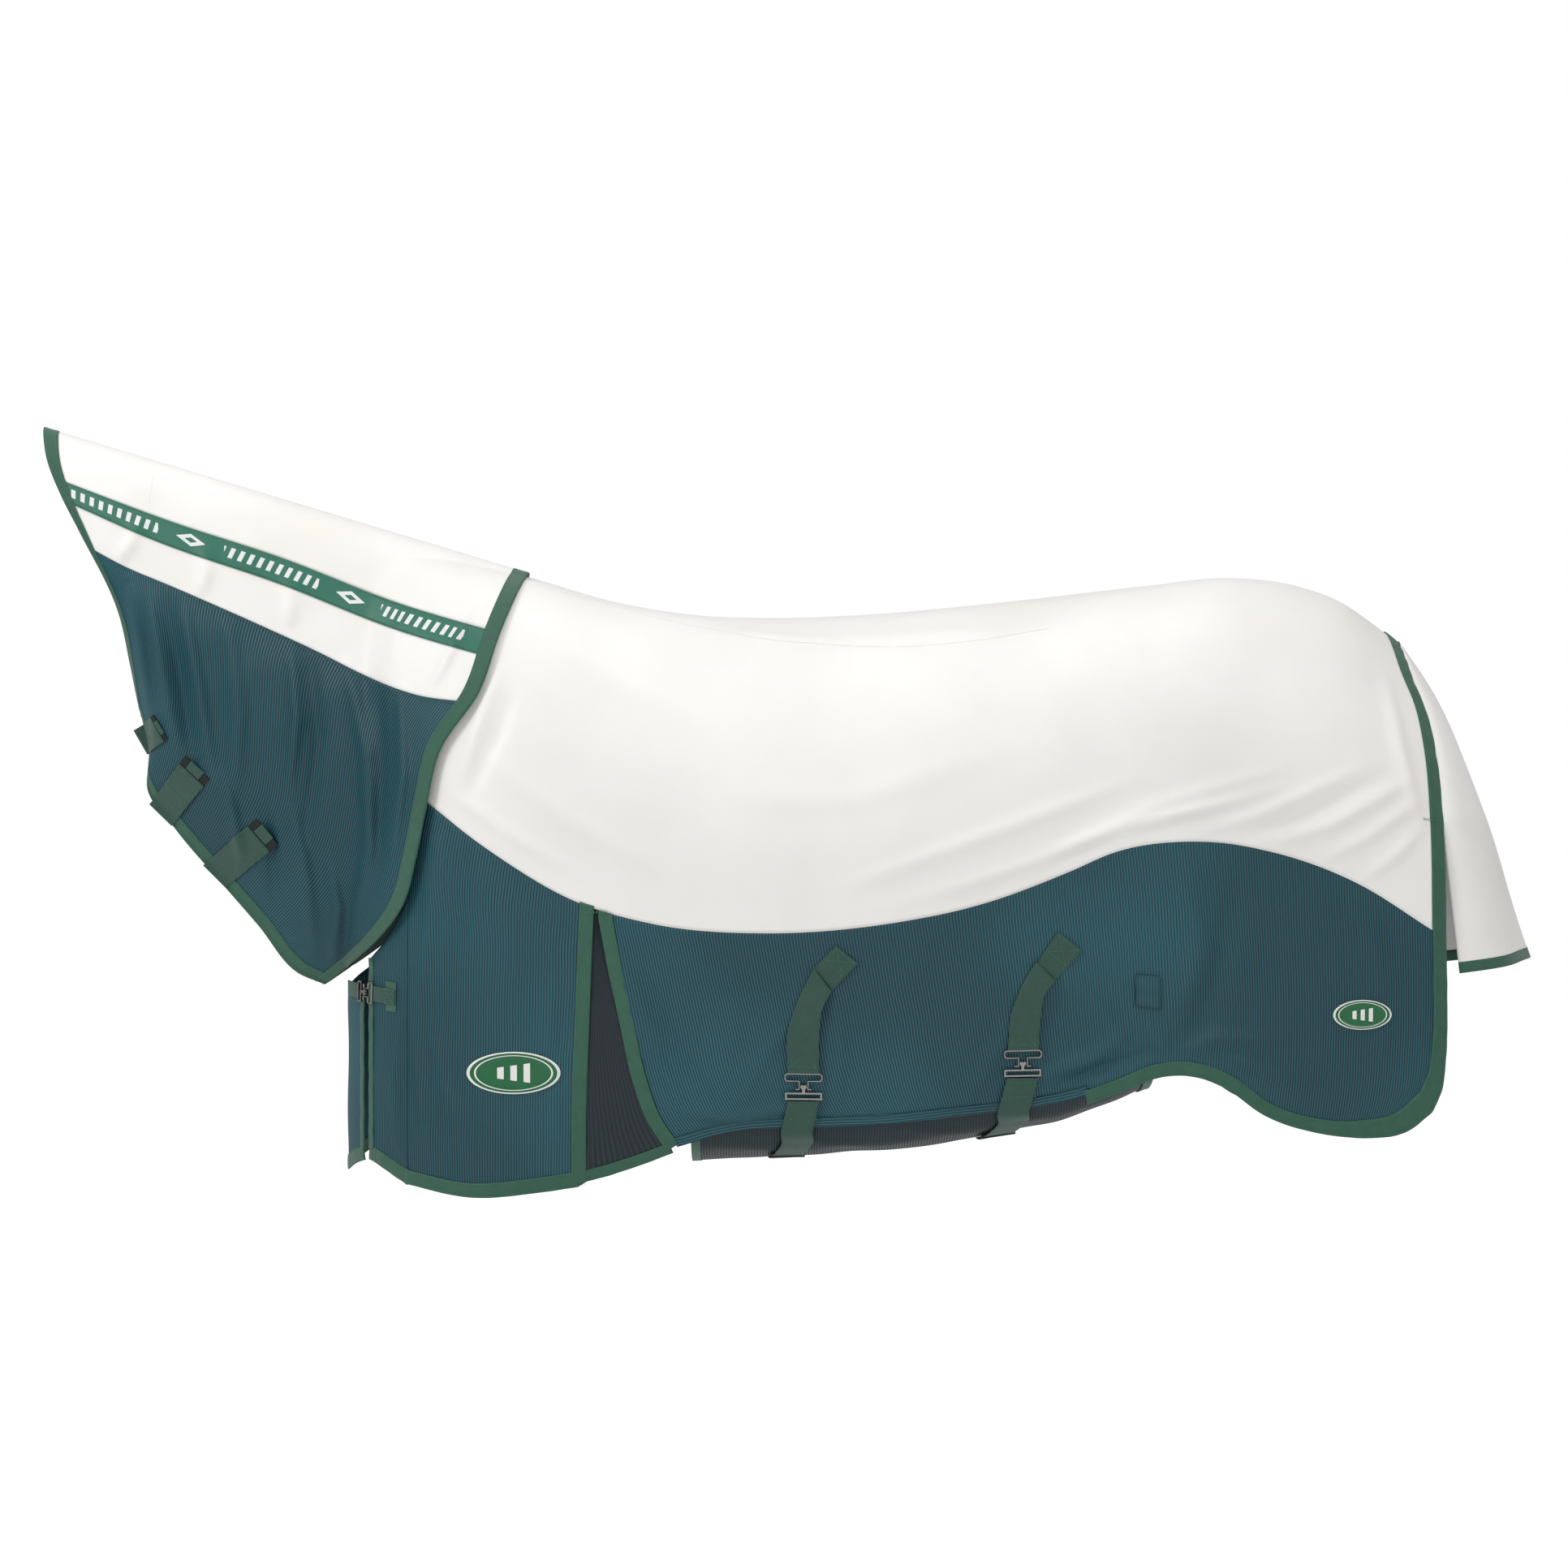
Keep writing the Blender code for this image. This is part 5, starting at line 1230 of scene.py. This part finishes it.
def belly_strap(word, plan):
    sewn, fold = plan["sewn"], plan["fold"]
    flat = between_edges([sewn[0], fold[0]], [sewn[1], plan["right"][0]], 16)
    grid = on_left(flat, np.full(flat.shape[:2], STRAP_OUT))
    anchor = ribbon(f"belly_anchor_{word}", grid[:, ::-1], WEBBING_TAPE,
                    [f"belly_strap_anchor_{word}"], turn=True)
    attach(anchor, "body_sheet")
    cross_stitch([flat[1, 1], flat[1, 7], flat[8, 7], flat[8, 1]], "body_sheet", "green",
                 lambda line: on_left(line, np.full(len(line), STRAP_OUT + 0.0012)))

    flat = between_edges(plan["left"], plan["right"], 44)
    down = np.linspace(0, 1, 44)[:, None]
    across = np.linspace(-1, 1, 9)[None, :]
    twist = 0.0045 * np.exp(-((down - 0.22) / 0.18) ** 2) * across
    out = UPPER_OUT + 0.0015 + twist + 0.002 * np.sin(down * math.pi)
    grid = on_left(flat, out)
    upper = ribbon(f"belly_strap_piece_{word}", grid[:, ::-1], WEBBING_TAPE,
                   [f"belly_strap_upper_{word}"], turn=True)
    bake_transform(upper)
    cross_stitch([flat[29, 1], flat[29, 7], flat[40, 7], flat[40, 1]], f"strap_upper_{word}", "green",
                 lambda line: on_left(line, np.full(len(line), UPPER_OUT + 0.0030)))
    lower_strap(word, plan)


def lower_strap(word, plan):
    """The strap from the lower half of the clip down over the hem and on to the wrap."""
    x = plan["clip"][0]
    half = WEBBING / 2
    start_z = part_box(f"belly_catch_{word}")[0][2]
    heights = np.linspace(start_z - 0.0004, HEM(x) - 0.004, 12)
    foot_x = plan["foot_x"]
    turns = run([(t, 0.0) for t in LOWER_STRAP_ROWS + (LOWER_STRAP_END,)], 26)[:, 0]
    places = np.linspace(x, foot_x, len(heights) + len(turns))
    shares = np.linspace(-1, 1, 9)
    rows = []
    for place, height in zip(places, heights):
        flat = np.stack([place + shares * half, np.full(9, height)], axis=1)
        rows.append(on_left(flat, np.full(9, UPPER_OUT + 0.0012)))
    outs = np.interp(turns, [LOWER_STRAP_ROWS[-1], LOWER_STRAP_END], [LOWER_STRAP_OUT, STRAP_OUT])
    for place, turn, out in zip(places[len(heights):], turns, outs):
        rows.append(wrap(place + shares * half, np.full(9, turn), out))
    grid = np.array(rows)
    grid = np.stack([run(grid[:, k], 60) for k in range(9)], axis=1)
    strap = ribbon(f"belly_strap_tail_{word}", grid[:, ::-1], WEBBING_TAPE,
                   [f"belly_strap_lower_{word}"], turn=True)
    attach(strap, f"strap_lower_{word}")
    corners = [(x - half * 0.8, start_z - 0.006), (x + half * 0.8, start_z - 0.006),
               (x + half * 0.8, start_z - 0.030), (x - half * 0.8, start_z - 0.030)]
    for a, b in zip(corners, corners[1:] + corners[:1]):
        line = np.linspace(a, b, 12)
        STITCH_LINES.append((f"strap_lower_{word}", "green", on_left(line, np.full(12, UPPER_OUT + 0.0026))))


CHEST_CLIP_ANGLE = 51.5
CHEST_CLIP_Z = -0.6145
CHEST_WEBBING = 0.025
CHEST_TAB = 0.052
CHEST_STRAP_REACH = 0.060


def chest_straps():
    """The strap and its patch on the left front, and the strap that comes round from the right front."""
    start = CHEST_TURN - CHEST_CLIP_ANGLE / 90 * CHEST_GIRTH
    g = chest_places(np.array([CHEST_CLIP_ANGLE]), np.array([CHEST_CLIP_Z]))[0, 1]
    half = CHEST_WEBBING / 2
    along = np.linspace(0, CHEST_TAB, 28)
    widths = np.interp(along, [0, 0.026, 0.030, CHEST_TAB], [half, half, half + 0.0005, half])
    across = np.linspace(-1, 1, 7)
    flat = np.stack([np.stack([np.full(7, start + a), g + w * across], axis=1) for a, w in zip(along, widths)])
    grid = trunk(flat, LEFT) + trunk_out(flat, LEFT) * 0.0036
    strap = ribbon("chest_strap_piece_left", grid, WEBBING_TAPE, ["chest_strap_left"],
                   turn=True)
    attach(strap, "front_flap_left")
    patch_flat = np.stack(np.meshgrid(np.linspace(start + 0.030, start + 0.053, 10),
                                      np.linspace(g - 0.024, g + 0.024, 14), indexing="ij"), axis=-1)
    patch_grid = trunk(patch_flat, LEFT) + trunk_out(patch_flat, LEFT) * 0.0018
    patch = ribbon("chest_patch_left", patch_grid, BINDING_TAPE, thick=0.0014)
    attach(patch, "front_flap_left")
    cross_stitch([(start + 0.032, g - 0.011), (start + 0.050, g - 0.011), (start + 0.050, g + 0.011),
                  (start + 0.032, g + 0.011)], "front_flap_left", "green",
                 lambda line: trunk(line, LEFT) + trunk_out(line, LEFT) * 0.0050)
    places = np.linspace(far_end(), far_end() - CHEST_STRAP_REACH, 24)
    flat = np.stack([np.stack([np.full(7, p), g + half * np.linspace(-1, 1, 7)], axis=1) for p in places])
    grid = trunk(flat, LEFT) + trunk_out(flat, LEFT) * 0.0032
    strap = ribbon("chest_strap_piece_right", grid, WEBBING_TAPE, ["chest_strap_right"],
                   turn=True)
    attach(strap, "front_flap_right")


def far_end():
    """Where the right chest strap starts, just past the catch."""
    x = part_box("chest_strap_right")[1][0]
    angle = math.asin((CHEST_TURN - x) / CHEST_REACH)
    return CHEST_TURN - angle / (math.pi / 2) * CHEST_GIRTH


# ---------------------------------------------------------------------------------------------
# Throat tabs, badges and patches
# ---------------------------------------------------------------------------------------------

THROAT_TABS = {
    "upper": [(-1.030, -0.163), (-1.006, -0.203), (-1.045, -0.226), (-1.068, -0.186), 0.0044],
    "middle": [(-0.980, -0.236), (-0.939, -0.273), (-1.005, -0.344), (-1.042, -0.308), 0.0029],
    "lower": [(-0.865, -0.338), (-0.829, -0.381), (-0.916, -0.446), (-0.953, -0.409), 0.0023],
}
TAB_NEAREST = 0.0115


def neck_place(flat):
    """The (u, q) of the neck cover's points nearest some drawn (x, z)."""
    u, q, step = np.full(flat.shape[:-1], 0.3), np.full(flat.shape[:-1], 0.9), 1e-4
    for _ in range(14):
        here = neck_flat(u, q)
        beside = (neck_flat(u + step, q) - here) / step
        above = (neck_flat(u, q - step) - here) / -step
        miss = flat - here
        both = beside[..., 0] * above[..., 1] - beside[..., 1] * above[..., 0]
        u = np.clip(u + (miss[..., 0] * above[..., 1] - miss[..., 1] * above[..., 0]) / both, 0.0, 1.0)
        q = np.clip(q + (beside[..., 0] * miss[..., 1] - beside[..., 1] * miss[..., 0]) / both, 0.01, 1.0)
    return u, q


def over_neck(flat, out):
    """Points over the left side of the neck cover, at a height out sideways."""
    u, q = neck_place(flat)
    point = neck(u, q, LEFT)
    shift = flat - neck_flat(u, q)
    point[..., 0] += shift[..., 0]
    point[..., 2] += shift[..., 1]
    seen = point[..., [0, 2]]
    ends = np.clip(np.minimum(u, 1 - u) * 24 + 0.25, 0, 1)
    rise = folds(seen, NECK_CREASES, 61 + LEFT, 0.13, 0.0028) * np.clip(q * 9, 0, 1) * ends
    away = np.abs(point[..., 1]) + np.maximum(rise, 0) + out
    point[..., 1] = -np.maximum(away, TAB_NEAREST)
    return point


def throat_tab(word, plan):
    a, b, c, d = (np.array(corner) for corner in plan[:4])
    columns, rows = 30, 18
    body = f"tab_{word}"

    def grid_between(first, last, lift, count, inset=0.0):
        shares = np.linspace(first, last, count)
        top = a + (d - a) * shares[:, None]
        foot = b + (c - b) * shares[:, None]
        turns = np.linspace(inset, 1 - inset, rows)[None, :, None]
        flat = top[:, None] * (1 - turns) + foot[:, None] * turns
        return over_neck(flat, plan[4] + lift)

    tab = ribbon(f"throat_tab_piece_{word}", grid_between(0.07, 1.0, 0.001, columns)[:, ::-1], WEBBING_TAPE,
                 [f"throat_tab_{word}"], turn=True)
    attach(tab, body)
    backing = ribbon(f"throat_hook_tape_{word}", grid_between(-0.10, 0.60, -0.0012, 18)[:, ::-1], HOOK_TAPE,
                     thick=0.0014)
    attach(backing, body)
    pull = ribbon(f"throat_pull_{word}", grid_between(-0.115, 0.05, 0.0004, 10, 0.24)[:, ::-1], WEBBING_TAPE,
                  thick=0.0014, turn=True)
    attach(pull, body)
    lines = []
    for share in (0.12, 0.52):
        start, end = a + (d - a) * share, b + (c - b) * share
        lines.append((start * 0.94 + end * 0.06, start * 0.06 + end * 0.94))
    lines.append((a * 0.88 + d * 0.12 + (b - a) * 0.06, a * 0.48 + d * 0.52 + (b - a) * 0.06))
    lines.append((b * 0.88 + c * 0.12 - (b - a) * 0.06, b * 0.48 + c * 0.52 - (b - a) * 0.06))
    if word == "upper":
        lines += [(lines[0][0], lines[1][1]), (lines[0][1], lines[1][0])]
    for start, end in lines:
        line = np.linspace(start, end, 16)
        STITCH_LINES.append((body, "green", over_neck(line, plan[4] + 0.0026)))


SHOULDER_BADGE = (-0.425, -0.737, 0.075, 0.034)
HAUNCH_BADGE = (0.934, -0.644, 0.048, 0.024)
LEG_PATCH = [(0.568, -0.577), (0.607, -0.581), (0.609, -0.634), (0.568, -0.628)]


def badge(name, plan, side, node):
    """An oval moulded badge: a low dome with a raised rim, laid on the form."""
    x, z, long, high = plan
    turns = np.linspace(0, 2 * math.pi, 73)
    reach = np.array([0.0, 0.2, 0.4, 0.6, 0.78, 0.80, 0.83, 0.85, 0.90, 0.92, 0.95, 0.985, 1.0, 1.0])
    rises = np.array([2.6, 2.6, 2.5, 2.4, 2.3, 2.6, 2.6, 2.3, 2.2, 2.9, 3.1, 2.8, 2.0, 0.2]) * 1e-3
    turn, share = np.meshgrid(turns[:-1], reach[1:], indexing="ij")
    flat = np.stack([x + long * share * np.cos(turn), z + high * share * np.sin(turn)], axis=-1)
    rise = np.broadcast_to(rises[1:], share.shape) + 0.0012
    places = laid(flat)
    points = trunk(places, side) + trunk_out(places, side) * rise[..., None]
    centre = laid(np.array([[x, z]]))
    middle = trunk(centre, side) + trunk_out(centre, side) * (rises[0] + 0.0012)
    mesh = bmesh.new()
    layer = mesh.loops.layers.uv.new("cloth")
    hub = mesh.verts.new(middle[0])
    rings = [[mesh.verts.new(point) for point in column] for column in points]
    spots = {hub: (0, 0)}
    for column, angle in zip(rings, turns):
        for vert, at in zip(column, reach[1:]):
            spots[vert] = (at * math.cos(angle), at * math.sin(angle))
    count = len(rings)
    for i, column in enumerate(rings):
        after = rings[(i + 1) % count]
        mesh.faces.new((hub, column[0], after[0]))
        for j in range(len(column) - 1):
            mesh.faces.new((column[j], column[j + 1], after[j + 1], after[j]))
    mesh.faces.new([column[-1] for column in reversed(rings)])
    bmesh.ops.recalc_face_normals(mesh, faces=mesh.faces)
    for face in mesh.faces:
        face.smooth = len(face.verts) < 5
        for loop in face.loops:
            loop[layer].uv = spots[loop.vert]
    data = bpy.data.meshes.new(name)
    mesh.to_mesh(data)
    mesh.free()
    obj = piece_of(name, data, BADGE)
    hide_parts(node)
    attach(obj, "body_sheet")
    around = np.stack([x + long * 0.955 * np.cos(turns), z + high * 0.955 * np.sin(turns)], axis=1)
    places = laid(around)
    STITCH_LINES.append(("body_sheet", "white", trunk(places, side) + trunk_out(places, side) * 0.0044))


def leg_patch(side, word):
    a, b, c, d = (np.array(corner) for corner in LEG_PATCH)
    flat = coons(np.linspace(a, b, 12), np.linspace(d, c, 12), np.linspace(a, d, 14), np.linspace(b, c, 14))
    places = laid(flat)
    points = trunk(places, side) + trunk_out(places, side) * 0.0034
    obj = grid_piece(f"leg_patch_{word}", points, lengths_uv(points), SIDE_MESH, flip=side == RIGHT,
                     thick=0.0014)
    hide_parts(f"leg_strap_patch_{word}")
    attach(obj, "body_sheet")
    centre = (a + b + c + d) / 4
    middle = (a + d) / 2, (b + c) / 2
    for start, end in ((a, b), (b, c), (c, d), (d, a), middle):
        line = laid(centre + (np.linspace(start, end, 14) - centre) * 0.93)
        STITCH_LINES.append(("body_sheet", "dark", trunk(line, side) + trunk_out(line, side) * 0.0046))


# ---------------------------------------------------------------------------------------------
# Stitching
# ---------------------------------------------------------------------------------------------

THREADS = {"green": GREEN_THREAD, "dark": DARK_THREAD, "white": WHITE_THREAD}


STITCH_PITCH = 0.0046
STITCH_LENGTH = 0.0034
THREAD_RADIUS = 0.00035


def stitch_tree():
    """Short thread stitches set end to end, with a gap, along each line of the mesh."""
    tree = bpy.data.node_groups.new("stitches", "GeometryNodeTree")
    interface = tree.interface
    interface.new_socket("Geometry", in_out="INPUT", socket_type="NodeSocketGeometry")
    spacing = interface.new_socket("Spacing", in_out="INPUT", socket_type="NodeSocketFloat")
    length = interface.new_socket("Stitch Length", in_out="INPUT", socket_type="NodeSocketFloat")
    thread = interface.new_socket("Thread Radius", in_out="INPUT", socket_type="NodeSocketFloat")
    look = interface.new_socket("Thread", in_out="INPUT", socket_type="NodeSocketMaterial")
    interface.new_socket("Geometry", in_out="OUTPUT", socket_type="NodeSocketGeometry")
    nodes, links = tree.nodes, tree.links
    group_in, group_out = nodes.new("NodeGroupInput"), nodes.new("NodeGroupOutput")
    curve = nodes.new("GeometryNodeMeshToCurve")
    points = nodes.new("GeometryNodeCurveToPoints")
    points.mode = "LENGTH"
    stitch = nodes.new("GeometryNodeMeshCylinder")
    stitch.inputs["Vertices"].default_value = 5
    place = nodes.new("GeometryNodeInstanceOnPoints")
    realize = nodes.new("GeometryNodeRealizeInstances")
    finish = nodes.new("GeometryNodeSetMaterial")
    links.new(group_in.outputs["Geometry"], curve.inputs["Mesh"])
    links.new(curve.outputs["Curve"], points.inputs["Curve"])
    links.new(group_in.outputs["Spacing"], points.inputs["Length"])
    links.new(group_in.outputs["Stitch Length"], stitch.inputs["Depth"])
    links.new(group_in.outputs["Thread Radius"], stitch.inputs["Radius"])
    links.new(points.outputs["Points"], place.inputs["Points"])
    links.new(stitch.outputs["Mesh"], place.inputs["Instance"])
    turn = nodes.new("FunctionNodeAlignRotationToVector")
    turn.axis = "Z"
    links.new(points.outputs["Tangent"], turn.inputs["Vector"])
    links.new(turn.outputs["Rotation"], place.inputs["Rotation"])
    links.new(place.outputs["Instances"], realize.inputs["Geometry"])
    links.new(realize.outputs["Geometry"], finish.inputs["Geometry"])
    links.new(group_in.outputs["Thread"], finish.inputs["Material"])
    links.new(finish.outputs["Geometry"], group_out.inputs["Geometry"])
    return tree, spacing.identifier, length.identifier, thread.identifier, look.identifier


def stitches():
    tree, spacing, length, thread, look = stitch_tree()
    groups = {}
    for body, colour, points in STITCH_LINES:
        groups.setdefault((body, colour), []).append(points)
    for (body, colour), lines in groups.items():
        verts, edges = [], []
        for line in lines:
            start = len(verts)
            verts += [tuple(point) for point in line]
            edges += [(start + i, start + i + 1) for i in range(len(line) - 1)]
        mesh = bpy.data.meshes.new(f"stitching_{body}_{colour}")
        mesh.from_pydata(verts, edges, [])
        obj = piece_of(mesh.name, mesh, THREADS[colour])
        sew = obj.modifiers.new("stitches", "NODES")
        sew.node_group = tree
        sew[spacing] = STITCH_PITCH
        sew[length] = STITCH_LENGTH
        sew[thread] = THREAD_RADIUS
        sew[look] = THREADS[colour]
        settled(obj)
        if body == "neck_cover":
            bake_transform(obj)
        else:
            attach(obj, body)


# ---------------------------------------------------------------------------------------------
# Fittings and the studio
# ---------------------------------------------------------------------------------------------


def finish_fittings():
    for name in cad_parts:
        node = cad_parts[name]
        if name.startswith(("belly_hook", "belly_catch", "chest_hook", "chest_catch")):
            look = NICKEL
        elif name.startswith("belly_slider"):
            look = BLACK_PLASTIC
        else:
            continue
        node.data.materials.clear()
        node.data.materials.append(look)


FLOOR_Z = -1.45
FLOOR_HALF = 14
SKY_LIGHT = 0.42
LAMPS = (
    ("key", (-4.2, -3.6, 2.6), 1.8, 135),
    ("fill", (3.6, -4.0, 1.6), 3.0, 45),
    ("over", (0.4, -0.6, 4.0), 2.5, 66),
)
CAMERA_PLACE = (0.008, -7.0, -0.2744)
CAMERA_LENS = 97.0


def studio():
    corners = [(x * FLOOR_HALF, y * FLOOR_HALF, FLOOR_Z) for x, y in ((-1, -1), (1, -1), (1, 1), (-1, 1))]
    mesh = bpy.data.meshes.new("floor")
    mesh.from_pydata(corners, [], [(0, 1, 2, 3)])
    floor = bpy.data.objects.new("floor", mesh)
    bpy.context.scene.collection.objects.link(floor)
    paper = bpy.data.materials.new("backdrop_paper")
    paper.use_nodes = True
    paper.node_tree.nodes["Principled BSDF"].inputs["Base Color"].default_value = (0.93, 0.93, 0.93, 1)
    paper.node_tree.nodes["Principled BSDF"].inputs["Roughness"].default_value = 0.9
    mesh.materials.append(paper)
    nodes, links = paper.node_tree.nodes, paper.node_tree.links
    glow = nodes.new("ShaderNodeMath")
    glow.operation = "MULTIPLY"
    glow.inputs[1].default_value = 0.66
    links.new(nodes.new("ShaderNodeLightPath").outputs["Is Camera Ray"], glow.inputs[0])
    nodes["Principled BSDF"].inputs["Emission Color"].default_value = (1, 1, 1, 1)
    links.new(glow.outputs[0], nodes["Principled BSDF"].inputs["Emission Strength"])
    world = bpy.data.worlds.new("studio")
    bpy.context.scene.world = world
    world.use_nodes = True
    world.node_tree.nodes["Background"].inputs["Color"].default_value = (1.0, 1.0, 1.0, 1)
    nodes, links = world.node_tree.nodes, world.node_tree.links
    seen = nodes.new("ShaderNodeMath")
    seen.operation = "MULTIPLY_ADD"
    seen.inputs[1].default_value = 1 - SKY_LIGHT
    seen.inputs[2].default_value = SKY_LIGHT
    links.new(nodes.new("ShaderNodeLightPath").outputs["Is Camera Ray"], seen.inputs[0])
    links.new(seen.outputs[0], nodes["Background"].inputs["Strength"])
    for name, place, size, power in LAMPS:
        light = bpy.data.lights.new(name, "AREA")
        light.energy = power
        light.size = size
        lamp = bpy.data.objects.new(name, light)
        bpy.context.scene.collection.objects.link(lamp)
        lamp.location = place
        lamp.rotation_euler = (Vector((0, 0, -0.3)) - Vector(place)).to_track_quat("-Z", "Y").to_euler()
    camera = bpy.data.objects.new("camera", bpy.data.cameras.new("camera"))
    bpy.context.scene.collection.objects.link(camera)
    camera.location = CAMERA_PLACE
    camera.rotation_euler = (math.pi / 2, 0, 0)
    camera.data.lens = CAMERA_LENS
    camera.data.sensor_width = 36.0
    bpy.context.scene.camera = camera
    bpy.context.scene.view_settings.view_transform = "Standard"


top_cover()
for side, word in ((LEFT, "left"), (RIGHT, "right")):
    body_sheet(side, word)
tail_cloth()
neck_cover()
belly_wrap()
for word, plan in UPPER_STRAPS.items():
    belly_strap(word, plan)
chest_straps()
for word, plan in THROAT_TABS.items():
    throat_tab(word, plan)
for side, word in ((LEFT, "left"), (RIGHT, "right")):
    badge(f"shoulder_badge_piece_{word}", SHOULDER_BADGE, side, f"shoulder_badge_{word}")
    badge(f"haunch_badge_piece_{word}", HAUNCH_BADGE, side, f"haunch_badge_{word}")
    leg_patch(side, word)
stitches()
finish_fittings()
studio()
